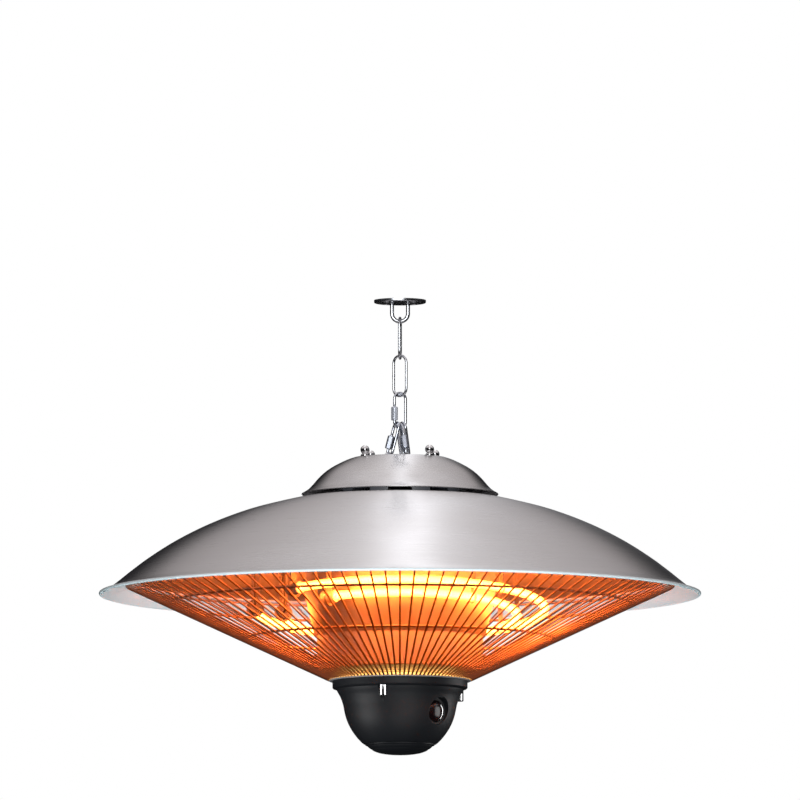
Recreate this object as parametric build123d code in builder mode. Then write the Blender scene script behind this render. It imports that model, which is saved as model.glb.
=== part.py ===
from build123d import *
import math
import os

os.makedirs("parts", exist_ok=True)

# Ceiling heater hung on a short chain: dome shade, guarded ring lamps, control bowl.
# Millimetres. The origin is the middle of the ceiling plate's upper face, +Z up, and
# everything hangs below it. Heights in the sections are given from the rim plane of
# the shade, which lies rim_drop below the ceiling.

# ---------------------------------------------------------------- driving dimensions
rim_drop = 295.0          # ceiling face down to the rim plane
rim_r = 301.0             # outer radius of the rolled rim
sheet = 1.0               # spun sheet thickness

plate_r, plate_t = 26.0, 3.0          # ceiling plate
plate_screw_pcd, plate_screw_r = 38.0, 2.25

link_wire = 1.3           # chain link wire radius
link_half_w = 7.7         # chain link centre line half width
link_len = 40.6           # chain link centre line length
hook_wire = 2.0
hook_bend = 8.0           # bend radius of the ceiling hook's bow

ql_wire = 1.4             # quick link wire radius
ql_half_w = 6.1           # quick link centre line half width
ql_len = 35.2             # quick link centre line length
nut_af = 6.5              # sleeve nut across flats
nut_len = 13.5            # sleeve nut length
nut_low = -10.0           # sleeve nut's lower end, from the link's middle, when closed
play = 0.3                # slack between two hooked wires

master_az = 25.0          # directions of the links' planes seen from above
lower_link_az = -35.0
upper_link_az = 85.0

stud_x, stud_y, stud_turn = 32.4, 28.6, -5.5     # cap studs: half spacings, turned a little
cap_top = 136.5                       # flat top of the cap
hanger_top = 126.5                    # plate that carries the eyes

guard_low, guard_slope = -119.3, 0.4665     # guard wires lie on z = guard_low + guard_slope * r
guard_count = 112
guard_wire = 1.0
ring_wire = 1.25

drum_r, drum_foot_r = 95.5, 86.5
lower_drum_r = 83.0
collar_r = 70.0           # short collar at the drum's foot
disc_r = 70.8

lamp_tilt = 7.0           # the lamp rings' plane leans, front side high
lamp_outer_r, lamp_outer_h = 144.5, -14.6
lamp_inner_r, lamp_inner_h = 117.0, -21.6
tube_r, tube_bore = 4.2, 3.2
filament_r = 1.2

screw_az = [-106.0, 14.0, 134.0]       # screws in the notches of the bowl's neck
screw_ring = 61.3
lens_az = -43.8           # receiver lens, looking out to the front right
lens_h = -119.6

# ---------------------------------------------------------------- construction planes
section = Plane(origin=(0, 0, -rim_drop), x_dir=(1, 0, 0), z_dir=(0, -1, 0))


def level(h):
    """Horizontal plane h above the rim plane."""
    return Plane.XY.offset(h - rim_drop)


def heading(az):
    """Horizontal unit vector."""
    return Vector(math.cos(math.radians(az)), math.sin(math.radians(az)), 0)


screw_xy = [(heading(az).X * screw_ring, heading(az).Y * screw_ring) for az in screw_az]


def upright(az, r, h):
    """Upright plane facing outwards at angle az, r from the axis and h above the rim."""
    d = heading(az)
    return Plane(
        origin=(d.X * r, d.Y * r, h - rim_drop), x_dir=(-d.Y, d.X, 0), z_dir=(d.X, d.Y, 0)
    )


def inset(points, t):
    """Points of a profile moved inwards by a sheet thickness t."""
    out = []
    for i, (x, z) in enumerate(points):
        a = points[max(i - 1, 0)]
        b = points[min(i + 1, len(points) - 1)]
        dx, dz = b[0] - a[0], b[1] - a[1]
        n = math.hypot(dx, dz)
        out.append((x + dz / n * t, z - dx / n * t))
    return out


# ---------------------------------------------------------------- ceiling plate and hook
with BuildPart() as ceiling_plate:
    with BuildSketch(Plane.XY):
        Circle(plate_r)
    extrude(amount=-plate_t)
    fillet(ceiling_plate.edges().group_by(Axis.Z)[0], 1.2)
    # four screw holes, countersunk from below
    with Locations(Plane(origin=(0, 0, -plate_t), x_dir=(1, 0, 0), z_dir=(0, 0, -1))):
        with PolarLocations(plate_screw_pcd / 2, 4, start_angle=45):
            CounterSinkHole(radius=plate_screw_r, counter_sink_radius=3.4)

hook_bar = rim_drop - plate_t - 18.45     # the bow's lowest point on its centre line, above the rim
with BuildPart() as ceiling_hook:
    with BuildLine(section) as hook_path:
        Line((-hook_bend, rim_drop - plate_t), (-hook_bend, hook_bar + hook_bend))
        ThreePointArc((-hook_bend, hook_bar + hook_bend), (0, hook_bar), (hook_bend, hook_bar + hook_bend))
        Line((hook_bend, hook_bar + hook_bend), (hook_bend, rim_drop - plate_t))
    with BuildSketch(Plane.XY.offset(-plate_t)):
        with Locations((-hook_bend, 0)):
            Circle(hook_wire)
    sweep(path=hook_path.line)

# ---------------------------------------------------------------- chain
# Each hooked pair of wires sits one above the other with a little slack.
upper_top = hook_bar + hook_wire + link_wire + play        # centre line top of the upper link
upper_mid = upper_top - link_len / 2
lower_top = upper_top - link_len + 2 * link_wire + play
lower_mid = lower_top - link_len / 2
master_top = lower_top - link_len + link_wire + ql_wire + play
master_mid = master_top - ql_len / 2
master_low = master_top - ql_len


def link_plane(az, h):
    """Plane of a hanging link: x along its width, y up."""
    d = heading(az)
    return Plane(origin=(0, 0, h - rim_drop), x_dir=(d.X, d.Y, 0), z_dir=(d.Y, -d.X, 0))


def half_loop(half_w, length):
    """Lower half of an oval link's centre line."""
    s = length / 2 - half_w
    with BuildLine(Plane.XY) as path:
        Line((-half_w, 0), (-half_w, -s))
        ThreePointArc((-half_w, -s), (0, -s - half_w), (half_w, -s))
        Line((half_w, -s), (half_w, 0))
    return path.line


def open_loop(half_w, length, gap_low, gap_high):
    """Centre line of a quick link, open on its -x side between the two heights."""
    s = length / 2 - half_w
    with BuildLine(Plane.XY) as path:
        Line((-half_w, gap_low), (-half_w, -s))
        ThreePointArc((-half_w, -s), (0, -s - half_w), (half_w, -s))
        Line((half_w, -s), (half_w, s))
        ThreePointArc((half_w, s), (0, s + half_w), (-half_w, s))
        Line((-half_w, s), (-half_w, gap_high))
    return path.line


def placed(plane, wire):
    """A curve drawn flat, put on a plane."""
    return plane.location * wire


gap_low, gap_high = nut_low + 3.0, nut_low + 9.3    # the link's gap, covered by the closed nut

upper_plane = link_plane(upper_link_az, upper_mid)
with BuildPart() as chain_link_upper:
    with BuildSketch(Plane(upper_plane.origin, x_dir=upper_plane.x_dir, z_dir=upper_plane.y_dir)):
        with Locations((-link_half_w, 0)):
            Circle(link_wire)
    sweep(path=placed(upper_plane, half_loop(link_half_w, link_len)))
    mirror(about=level(upper_mid))

lower_plane = link_plane(lower_link_az, lower_mid)
with BuildPart() as chain_link_lower:
    with BuildSketch(Plane(lower_plane.origin, x_dir=lower_plane.x_dir, z_dir=lower_plane.y_dir)):
        with Locations((-link_half_w, 0)):
            Circle(link_wire)
    sweep(path=placed(lower_plane, half_loop(link_half_w, link_len)))
    mirror(about=level(lower_mid))

# The master quick link and its sleeve nut
master_plane = link_plane(master_az, master_mid)


def across(plane, y):
    """Plane square to a link's long side at height y on the link, facing up the link."""
    return Plane(plane.from_local_coords((0, y, 0)), x_dir=plane.x_dir, z_dir=plane.y_dir)


with BuildPart() as master_link:
    with BuildSketch(across(master_plane, gap_low)):
        with Locations((-ql_half_w, 0)):
            Circle(ql_wire)
    sweep(path=placed(master_plane, open_loop(ql_half_w, ql_len, gap_low, gap_high)))

with BuildPart() as master_link_nut:
    with BuildSketch(across(master_plane, nut_low)):
        with Locations((-ql_half_w, 0)):
            RegularPolygon(radius=nut_af / 2, side_count=6, major_radius=False, rotation=30)
            Circle(ql_wire + 0.08, mode=Mode.SUBTRACT)
    extrude(amount=nut_len)
    chamfer(master_link_nut.edges().filter_by(GeomType.LINE).filter_by(
        lambda e: abs(e.tangent_at(0).Z) < 0.1), 0.45)

# Three quick links run from the master link's lower bow down to three eyes. Each stands
# in the plane of the master link's cross direction, and spreads out like a tripod.
u = heading(master_az)
w = heading(master_az + 90)
axis_up = Vector(0, 0, 1)
seat = ql_half_w - 2 * ql_wire - play          # a hooked wire's distance from the bow's centre
bow_h = master_low + ql_half_w                 # height of the bow's centre
side_seat = seat - 0.15                        # the outer legs rest beside the middle one
side = math.radians(75)


def leg_frame(top, foot, flip):
    """Plane of a leg link, x along its width and y up its length. flip puts the nut on the other side."""
    up = (top - foot).normalized()
    across_dir = (w - up * w.dot(up)).normalized() * (-1 if flip else 1)
    return Plane(origin=(top + foot) * 0.5, x_dir=across_dir, z_dir=across_dir.cross(up))


def leg_points(s_top, h_top, s_foot, w_foot):
    """Top and foot of a leg on its centre line, with the foot as low as the link's length lets it hang."""
    flat = math.hypot(s_foot - s_top, w_foot)
    drop = math.sqrt(ql_len ** 2 - flat ** 2)
    top = u * s_top + axis_up * (h_top - rim_drop)
    foot = u * s_foot + w * w_foot + axis_up * (h_top - drop - rim_drop)
    return top, foot


top_l, foot_l = leg_points(-side_seat * math.sin(side), bow_h - side_seat * math.cos(side), -10.0, 5.0)
top_r, foot_r = leg_points(side_seat * math.sin(side), bow_h - side_seat * math.cos(side), 10.0, 5.0)
# the middle leg pulls straight through the middle of the master link's lower bow
hooked = 2 * ql_wire + play
pull = axis_up * math.sqrt((ql_len - hooked) ** 2 - 10.0 ** 2) + w * 10.0
pull = pull.normalized()
foot_c = axis_up * (master_low - rim_drop) - pull * (ql_len - hooked)
top_c = foot_c + pull * ql_len
plane_l = leg_frame(top_l, foot_l, True)
plane_c = leg_frame(top_c, foot_c, False)
plane_r = leg_frame(top_r, foot_r, True)

with BuildPart() as leg_link_left:
    with BuildSketch(across(plane_l, gap_low)):
        with Locations((-ql_half_w, 0)):
            Circle(ql_wire)
    sweep(path=placed(plane_l, open_loop(ql_half_w, ql_len, gap_low, gap_high)))

with BuildPart() as leg_link_centre:
    with BuildSketch(across(plane_c, gap_low)):
        with Locations((-ql_half_w, 0)):
            Circle(ql_wire)
    sweep(path=placed(plane_c, open_loop(ql_half_w, ql_len, gap_low, gap_high)))

with BuildPart() as leg_link_right:
    with BuildSketch(across(plane_r, gap_low)):
        with Locations((-ql_half_w, 0)):
            Circle(ql_wire)
    sweep(path=placed(plane_r, open_loop(ql_half_w, ql_len, gap_low, gap_high)))

with BuildPart() as leg_link_left_nut:
    with BuildSketch(across(plane_l, nut_low)):
        with Locations((-ql_half_w, 0)):
            RegularPolygon(radius=nut_af / 2, side_count=6, major_radius=False, rotation=30)
            Circle(ql_wire + 0.08, mode=Mode.SUBTRACT)
    extrude(amount=nut_len)
    chamfer(leg_link_left_nut.edges().filter_by(GeomType.LINE).filter_by(
        lambda e: abs(e.tangent_at(0).dot(plane_l.y_dir)) < 0.1), 0.45)

with BuildPart() as leg_link_centre_nut:
    with BuildSketch(across(plane_c, nut_low)):
        with Locations((-ql_half_w, 0)):
            RegularPolygon(radius=nut_af / 2, side_count=6, major_radius=False, rotation=30)
            Circle(ql_wire + 0.08, mode=Mode.SUBTRACT)
    extrude(amount=nut_len)
    chamfer(leg_link_centre_nut.edges().filter_by(GeomType.LINE).filter_by(
        lambda e: abs(e.tangent_at(0).dot(plane_c.y_dir)) < 0.1), 0.45)

with BuildPart() as leg_link_right_nut:
    with BuildSketch(across(plane_r, nut_low)):
        with Locations((-ql_half_w, 0)):
            RegularPolygon(radius=nut_af / 2, side_count=6, major_radius=False, rotation=30)
            Circle(ql_wire + 0.08, mode=Mode.SUBTRACT)
    extrude(amount=nut_len)
    chamfer(leg_link_right_nut.edges().filter_by(GeomType.LINE).filter_by(
        lambda e: abs(e.tangent_at(0).dot(plane_r.y_dir)) < 0.1), 0.45)

# ---------------------------------------------------------------- eyes, hanger plate, gland
eye_r = 4.5
eye_feet = [foot_l, foot_c, foot_r]
eye_pull = [plane_l.y_dir, plane_c.y_dir, plane_r.y_dir]
hanger_t = 2.5
eye_xy = []
with BuildPart() as hanger_eyes:
    for foot, up in zip(eye_feet, eye_pull):
        in_eye = (up - w * up.dot(w)).normalized()
        centre = foot + up * hooked - in_eye * eye_r
        with Locations(Plane(origin=centre, x_dir=(0, 0, 1), z_dir=(w.X, w.Y, 0))):
            Torus(eye_r, ql_wire)
        eye_xy.append((centre.X, centre.Y))
        with Locations((centre.X, centre.Y, hanger_top - 8.5 - rim_drop)):
            Cylinder(2.0, centre.Z - eye_r - (hanger_top - 8.5 - rim_drop),
                     align=(Align.CENTER, Align.CENTER, Align.MIN))
        with Locations((centre.X, centre.Y, hanger_top - rim_drop)):
            Cylinder(3.6, 1.4, align=(Align.CENTER, Align.CENTER, Align.MIN))

with BuildPart() as eye_nuts:
    with BuildSketch(level(hanger_top - hanger_t)):
        with Locations(*eye_xy):
            RegularPolygon(radius=3.5, side_count=6, major_radius=False)
            Circle(2.03, mode=Mode.SUBTRACT)
    extrude(amount=-3.2)

gland_xy = (w.X * 22.0, w.Y * 22.0)
turn_c, turn_s = math.cos(math.radians(stud_turn)), math.sin(math.radians(stud_turn))
studs = [(x * turn_c - y * turn_s, x * turn_s + y * turn_c)
         for x, y in ((stud_x, stud_y), (-stud_x, stud_y), (-stud_x, -stud_y), (stud_x, -stud_y))]
with BuildPart() as hanger_plate:
    with BuildSketch(level(hanger_top - hanger_t)):
        Circle(50.0)
        with Locations(*eye_xy):
            Circle(2.1, mode=Mode.SUBTRACT)
        with Locations(*studs):
            Circle(2.1, mode=Mode.SUBTRACT)
        with Locations(gland_xy):
            Circle(6.1, mode=Mode.SUBTRACT)
    extrude(amount=hanger_t)
    chamfer(hanger_plate.edges().group_by(Axis.Z)[-1].sort_by(SortBy.LENGTH)[-1], 0.6)

with BuildPart() as cable_gland:
    with BuildSketch(level(hanger_top)):
        with Locations(gland_xy):
            RegularPolygon(radius=6.9, side_count=6, major_radius=False)
    extrude(amount=3.6)
    with BuildSketch(level(hanger_top + 3.6)):
        with Locations(gland_xy):
            Circle(6.6)
    extrude(amount=6.0, taper=9)
    with BuildSketch(level(hanger_top)):
        with Locations(gland_xy):
            Circle(6.0)
    extrude(amount=-8.5)
    with BuildSketch(level(hanger_top - 8.5)):
        with Locations(gland_xy):
            Circle(3.6)
    extrude(amount=24, mode=Mode.SUBTRACT)

with BuildPart() as gland_locknut:
    with BuildSketch(level(hanger_top - hanger_t)):
        with Locations(gland_xy):
            RegularPolygon(radius=8.2, side_count=6, major_radius=False)
            Circle(6.05, mode=Mode.SUBTRACT)
    extrude(amount=-3.5)

# ---------------------------------------------------------------- cap
cap_line = [(46.5, 136.5), (54.2, 133.8), (65.0, 128.5), (72.7, 123.7), (78.6, 118.8),
            (83.3, 113.9), (87.6, 108.8), (92.2, 103.9), (98.2, 100.0)]
cap_inner = inset(cap_line, sheet)
cap_inner[0] = (46.2, cap_top - sheet)
with BuildPart() as cap:
    with BuildSketch(section):
        with BuildLine():
            Line((30.0, cap_top), cap_line[0])
            Spline(*cap_line, tangents=[(1, -0.18), (1, -0.55)])
            Line(cap_line[-1], cap_inner[-1])
            Spline(*cap_inner[::-1], tangents=[(-1, 0.55), (-1, 0.18)])
            Line(cap_inner[0], (30.0, cap_top - sheet))
            Line((30.0, cap_top - sheet), (30.0, cap_top))
        make_face()
    revolve(axis=Axis.Z)
    with BuildSketch(level(cap_top + 1)):
        with Locations(*studs):
            Circle(2.15)
    extrude(amount=-3, mode=Mode.SUBTRACT)

with BuildPart() as cap_washers:
    with BuildSketch(level(cap_top)):
        with Locations(*studs):
            Circle(4.4)
            Circle(2.15, mode=Mode.SUBTRACT)
    extrude(amount=0.8)

# ball nuts: flared foot, short neck and a ball, with a blind hole for the stud
nut_foot = cap_top + 0.8
ball_h, ball_r = 142.6, 4.5
with BuildPart() as cap_nuts:
    with BuildSketch(level(nut_foot)):
        with Locations(*studs):
            Circle(3.8)
    extrude(amount=1.4, taper=12)
    with BuildSketch(level(nut_foot + 1.4)):
        with Locations(*studs):
            Circle(2.95)
    extrude(amount=2.5)
    with Locations(*[(x, y, ball_h - rim_drop) for x, y in studs]):
        Sphere(ball_r)
    with BuildSketch(level(nut_foot)):
        with Locations(*studs):
            Circle(2.05)
    extrude(amount=8.4, mode=Mode.SUBTRACT)

with BuildPart() as cap_studs:
    with BuildSketch(level(90.0)):
        with Locations(*studs):
            Circle(2.0)
    extrude(amount=nut_foot + 8.2 - 90.0)

with BuildPart() as stud_nuts:
    with BuildSketch(level(94.5)):
        with Locations(*studs):
            RegularPolygon(radius=3.5, side_count=6, major_radius=False)
            Circle(2.03, mode=Mode.SUBTRACT)
    extrude(amount=-3.2)

# tubes on the studs that keep mounting plate, hanger plate and cap apart
with BuildPart() as stud_spacers:
    with BuildSketch(level(106.5)):
        with Locations(*studs):
            Circle(4.0)
            Circle(2.1, mode=Mode.SUBTRACT)
    extrude(amount=hanger_top - hanger_t - 106.5)
    with BuildSketch(level(hanger_top)):
        with Locations(*studs):
            Circle(2.95)
            Circle(2.1, mode=Mode.SUBTRACT)
    extrude(amount=cap_top - sheet - hanger_top)

with BuildPart() as mounting_plate:
    with BuildSketch(level(104.0)):
        Circle(66.0)
        Circle(12.3, mode=Mode.SUBTRACT)
        with Locations(*studs):
            Circle(2.1, mode=Mode.SUBTRACT)
        with PolarLocations(54.0, 6, start_angle=0):
            Circle(5.0, mode=Mode.SUBTRACT)
    extrude(amount=2.5)

# vented neck between shade and mounting plate, seen in the gap under the cap
with BuildPart() as neck_ring:
    with BuildSketch(level(97.5)):
        Circle(62.0)
        Circle(60.8, mode=Mode.SUBTRACT)
    extrude(amount=6.5)
    with BuildSketch(level(98.9)):
        with PolarLocations(61.4, 9, start_angle=-90):
            Rectangle(6, 24)
    extrude(amount=3.9, mode=Mode.SUBTRACT)

# ---------------------------------------------------------------- shade and rim
shade_line = [(88.0, 97.5), (97.0, 97.0), (107.0, 95.2), (118.7, 92.4), (130.4, 89.4),
              (141.1, 86.5), (150.9, 83.5), (159.9, 80.5), (168.4, 77.6), (176.2, 74.6),
              (183.6, 71.7), (190.6, 68.7), (197.2, 65.8), (203.5, 62.8), (209.4, 59.9),
              (215.2, 56.9), (220.6, 54.0), (225.9, 51.0), (230.9, 48.1), (235.8, 45.1),
              (240.5, 42.1), (245.0, 39.2), (249.4, 36.2), (253.7, 33.2), (257.8, 30.3),
              (261.8, 27.3), (265.7, 24.3), (269.6, 21.3), (273.4, 18.3), (277.2, 15.2),
              (281.1, 12.0), (285.0, 8.9), (287.6, 6.9)]
shade_line = shade_line[:2] + shade_line[2::2]
shade_inner = inset(shade_line, sheet)
shade_inner[0] = (88.0, 97.5 - sheet)
lip_slope = 0.464


def lip(r):
    """Height of the lip's upper face."""
    return 1.45 + (298.3 - r) * lip_slope


with BuildPart() as shade:
    with BuildSketch(section):
        with BuildLine():
            Line((30.0, 97.5), shade_line[0])
            Spline(*shade_line, tangents=[(1, 0), (1, -0.79)])
            Line(shade_line[-1], (290.2, lip(290.2)))
            Line((290.2, lip(290.2)), (298.3, lip(298.3)))
            Line((298.3, lip(298.3)), (298.3, lip(298.3) - 1.1))
            Line((298.3, lip(298.3) - 1.1), (289.6, lip(289.6) - 1.1))
            Line((289.6, lip(289.6) - 1.1), shade_inner[-1])
            Spline(*shade_inner[::-1], tangents=[(-1, 0.79), (-1, 0)])
            Line(shade_inner[0], (30.0, 97.5 - sheet))
            Line((30.0, 97.5 - sheet), (30.0, 97.5))
        make_face()
    revolve(axis=Axis.Z)
    with BuildSketch(level(98.5)):
        with Locations(*studs):
            Circle(2.15)
    extrude(amount=-3, mode=Mode.SUBTRACT)

# light ring under the lip: outer edge rolled to a bead, inner flange carries reflector and guard
clip_r, clip_count = 264.6, 6
pitch = 360 / guard_count
# the six fixings sit about 60 degrees apart, each midway between two guard wires
clip_az = [(math.floor((120 + 60 * i) / pitch) + 0.5) * pitch - 90 for i in range(clip_count)]
clip_xy = [(heading(az).X * clip_r, heading(az).Y * clip_r) for az in clip_az]
flange_h = 12.2


def under_lip(r):
    return lip(r) - 1.16


with BuildPart() as rim_ring:
    with BuildSketch(section):
        with BuildLine():
            Polyline((298.6, under_lip(298.6)), (277.6, under_lip(277.6)), (275.0, flange_h),
                     (262.0, flange_h), (262.0, flange_h - 1.2), (274.4, flange_h - 1.2),
                     (277.2, under_lip(277.2) - 1.45), (298.6, under_lip(298.6) - 1.3), close=True)
        make_face()
        with Locations((299.75, 0.55)):
            Circle(1.25)
    revolve(axis=Axis.Z)
    with BuildSketch(level(flange_h + 1)):
        with Locations(*clip_xy):
            Circle(1.65)
    extrude(amount=-4, mode=Mode.SUBTRACT)

# ---------------------------------------------------------------- carrier, drum, centre tube
with BuildPart() as carrier_plate:
    with BuildSketch(level(94.5)):
        Circle(87.0)
        Circle(12.3, mode=Mode.SUBTRACT)
        with Locations(*studs):
            Circle(2.1, mode=Mode.SUBTRACT)
        with PolarLocations(66.0, 6, start_angle=0):
            Circle(9.0, mode=Mode.SUBTRACT)
    extrude(amount=2.0)

with BuildPart() as drum_upper:
    with BuildSketch(section):
        with BuildLine():
            Polyline((80.0, 94.5), (drum_r, 94.5), (drum_r, 0.0), (drum_foot_r, -38.0),
                     (84.15, -42.2), (83.3, -41.7), (drum_foot_r - 1.15, -37.8),
                     (drum_r - sheet, 0.15), (drum_r - sheet, 93.3), (80.0, 93.3), close=True)
        make_face()
    revolve(axis=Axis.Z)

with BuildPart() as drum_lower:
    with BuildSketch(section):
        with BuildLine():
            Polyline((lower_drum_r, -30.0), (lower_drum_r, -76.2), (71.4, -79.9), (collar_r, -80.8),
                     (collar_r, -86.0), (12.4, -86.0), (12.4, -84.8), (collar_r - sheet, -84.8),
                     (collar_r - sheet, -80.2), (71.0, -78.9), (lower_drum_r - sheet, -75.4),
                     (lower_drum_r - sheet, -30.0), close=True)
        make_face()
    revolve(axis=Axis.Z)
    with BuildSketch(level(-84.0)):
        with Locations(*screw_xy):
            Circle(2.1)
    extrude(amount=-3.0, mode=Mode.SUBTRACT)

with BuildPart() as column_tube:
    with BuildSketch(level(-94.5)):
        Circle(12.0)
        Circle(10.2, mode=Mode.SUBTRACT)
    extrude(amount=94.5 + 112.0)

# ring nuts on the centre tube: on the mounting plate, and above and below the drum's floor
with BuildPart() as column_nuts:
    with BuildSketch(level(106.5)):
        RegularPolygon(radius=15.5, side_count=6, major_radius=False)
        Circle(12.05, mode=Mode.SUBTRACT)
    extrude(amount=4.5)
    with BuildSketch(level(-84.8)):
        RegularPolygon(radius=15.5, side_count=6, major_radius=False)
        Circle(12.05, mode=Mode.SUBTRACT)
    extrude(amount=4.5)
    with BuildSketch(level(-87.4)):
        RegularPolygon(radius=15.5, side_count=6, major_radius=False)
        Circle(12.05, mode=Mode.SUBTRACT)
    extrude(amount=-4.5)

# ---------------------------------------------------------------- reflector
refl_in, refl_out = (95.9, 45.2), (257.8, 13.8)
refl_slope = (refl_in[1] - refl_out[1]) / (refl_out[0] - refl_in[0])


def under_reflector(r):
    """Height of the reflector's lower face."""
    return refl_in[1] - (r - refl_in[0]) * refl_slope


with BuildPart() as reflector:
    with BuildSketch(section):
        with BuildLine():
            Polyline(refl_in, (95.9, 56.0), (96.9, 56.0), (96.9, 46.2), (258.1, 14.9),
                     (262.0, 13.2), (274.4, 13.2), (274.4, flange_h), (261.6, flange_h),
                     refl_out, close=True)
        make_face()
    revolve(axis=Axis.Z)
    with BuildSketch(level(flange_h + 2)):
        with Locations(*clip_xy):
            Circle(1.65)
    extrude(amount=-4, mode=Mode.SUBTRACT)

# ---------------------------------------------------------------- ring lamps
tilt = math.radians(lamp_tilt)


def lamp_plane(h):
    """Plane of a lamp ring: it leans so that its front is the high side."""
    return Plane(origin=(0, 0, h - rim_drop), x_dir=(1, 0, 0), z_dir=(0, math.sin(tilt), math.cos(tilt)))


def on_ring(plane, r, deg):
    """Point of a ring, its outward direction and its running direction."""
    a = math.radians(deg)
    c = plane.from_local_coords((r * math.cos(a), r * math.sin(a), 0))
    out = plane.x_dir * math.cos(a) + plane.y_dir * math.sin(a)
    run = plane.y_dir * math.cos(a) - plane.x_dir * math.sin(a)
    return c, out, run


def ring_start(plane, r, deg):
    c, out, run = on_ring(plane, r, deg)
    return Plane(origin=c, x_dir=out, z_dir=run)


outer_plane, inner_plane = lamp_plane(lamp_outer_h), lamp_plane(lamp_inner_h)
outer_from, outer_span = -135.5, 315.5       # the open stretch of each ring is at the front left
inner_from, inner_span = -125.5, 310.5
outer_axis = Axis(outer_plane.origin, outer_plane.z_dir)
inner_axis = Axis(inner_plane.origin, inner_plane.z_dir)

with BuildPart() as lamp_tube_outer:
    with BuildSketch(ring_start(outer_plane, lamp_outer_r, outer_from)):
        Circle(tube_r)
        Circle(tube_bore, mode=Mode.SUBTRACT)
    revolve(axis=outer_axis, revolution_arc=outer_span)

with BuildPart() as lamp_tube_inner:
    with BuildSketch(ring_start(inner_plane, lamp_inner_r, inner_from)):
        Circle(tube_r)
        Circle(tube_bore, mode=Mode.SUBTRACT)
    revolve(axis=inner_axis, revolution_arc=inner_span)

with BuildPart() as filament_outer:
    with BuildSketch(ring_start(outer_plane, lamp_outer_r, outer_from)):
        Circle(filament_r)
    revolve(axis=outer_axis, revolution_arc=outer_span)

with BuildPart() as filament_inner:
    with BuildSketch(ring_start(inner_plane, lamp_inner_r, inner_from)):
        Circle(filament_r)
    revolve(axis=inner_axis, revolution_arc=inner_span)

# the four tube ends: ring plane, radius, angle and which way the end points
tube_ends = [
    (outer_plane, lamp_outer_r, outer_from, -1),
    (outer_plane, lamp_outer_r, outer_from + outer_span, 1),
    (inner_plane, lamp_inner_r, inner_from, -1),
    (inner_plane, lamp_inner_r, inner_from + inner_span, 1),
]


def end_plane(end, along):
    """Plane square to a tube end, 'along' mm past the end of the glass, facing away from it."""
    plane, r, deg, sense = end
    c, out, run = on_ring(plane, r, deg)
    d = run * sense
    side_dir = Vector(0, 0, 1).cross(d).normalized()
    return Plane(origin=c + d * along, x_dir=side_dir, z_dir=d)


with BuildPart() as lamp_end_caps:
    for end in tube_ends:
        with BuildSketch(end_plane(end, -5.0)):
            Circle(6.2)
        extrude(amount=15.0)
        with BuildSketch(end_plane(end, -5.0)):
            Circle(tube_r + 0.15)
        extrude(amount=5.0, mode=Mode.SUBTRACT)

# strips that hang from the reflector and hold the end caps
with BuildPart() as lamp_holders:
    for end in tube_ends:
        p = end_plane(end, 2.0)
        rise = under_reflector(math.hypot(p.origin.X, p.origin.Y)) - (p.origin.Z + rim_drop) - 1.0
        with BuildSketch(p):
            Circle(9.0)
            with Locations((0, rise / 2)):
                Rectangle(8.0, rise)
            Circle(6.25, mode=Mode.SUBTRACT)
        extrude(amount=1.5)

# thin plates with an eye that steady the glass rings half way
support_at = [(outer_plane, lamp_outer_r, -46.0), (outer_plane, lamp_outer_r, 35.0),
              (outer_plane, lamp_outer_r, 112.0), (inner_plane, lamp_inner_r, -52.0),
              (inner_plane, lamp_inner_r, 30.0), (inner_plane, lamp_inner_r, 105.0)]
with BuildPart() as tube_supports:
    for plane, r, deg in support_at:
        c, out, run = on_ring(plane, r, deg)
        side_dir = Vector(0, 0, 1).cross(run).normalized()
        p = Plane(origin=c - run * 0.5, x_dir=side_dir, z_dir=run)
        rise = under_reflector(math.hypot(c.X, c.Y)) - (c.Z + rim_drop) - 0.9
        with BuildSketch(p):
            Circle(6.2)
            with Locations((0, rise / 2)):
                Rectangle(5.0, rise)
            Circle(tube_r + 0.12, mode=Mode.SUBTRACT)
        extrude(amount=1.0)

# leads from the end caps up through the reflector
with BuildPart() as lamp_leads:
    for end in tube_ends:
        p = end_plane(end, 10.0)
        a = p.origin
        b = a + p.z_dir * 9.0
        c = Vector(b.X, b.Y, under_reflector(math.hypot(b.X, b.Y)) - 0.4 - rim_drop)
        with BuildLine() as lead:
            FilletPolyline(a, b, c, radius=5.0)
        with BuildSketch(p):
            Circle(1.1)
        sweep(path=lead.line)

# ---------------------------------------------------------------- guard
run_x, run_z = 1 / math.hypot(1, guard_slope), guard_slope / math.hypot(1, guard_slope)
wire_in, wire_out = 72.2, 274.2
wire_len = (wire_out - wire_in) / run_x


def guard_h(r):
    """Height of the guard wires' centre line."""
    return guard_low + guard_slope * r


wire_start = Plane(origin=(wire_in, 0, guard_h(wire_in) - rim_drop), x_dir=(0, 1, 0), z_dir=(run_x, 0, run_z))
with BuildPart() as one_guard_wire:
    with BuildSketch(wire_start):
        Circle(guard_wire)
    extrude(amount=wire_len)

with BuildPart() as guard_wires:
    with PolarLocations(0, guard_count, start_angle=-90):
        add(one_guard_wire.part)


def on_guard(r, wire):
    """Middle of a ring wire that lies on the inner side of the guard wires at radius r."""
    off = guard_wire + wire
    return r - run_z * off, guard_h(r) + run_x * off


with BuildPart() as guard_top_ring:
    with BuildSketch(section):
        with Locations(on_guard(271.3, ring_wire)):
            Circle(ring_wire)
    revolve(axis=Axis.Z)

with BuildPart() as guard_mid_rings:
    with BuildSketch(section):
        with Locations(on_guard(231.5, ring_wire), on_guard(156.0, ring_wire)):
            Circle(ring_wire)
    revolve(axis=Axis.Z)

with BuildPart() as guard_bottom_ring:
    with BuildSketch(section):
        with Locations(on_guard(74.6, ring_wire)):
            Circle(ring_wire)
    revolve(axis=Axis.Z)

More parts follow.
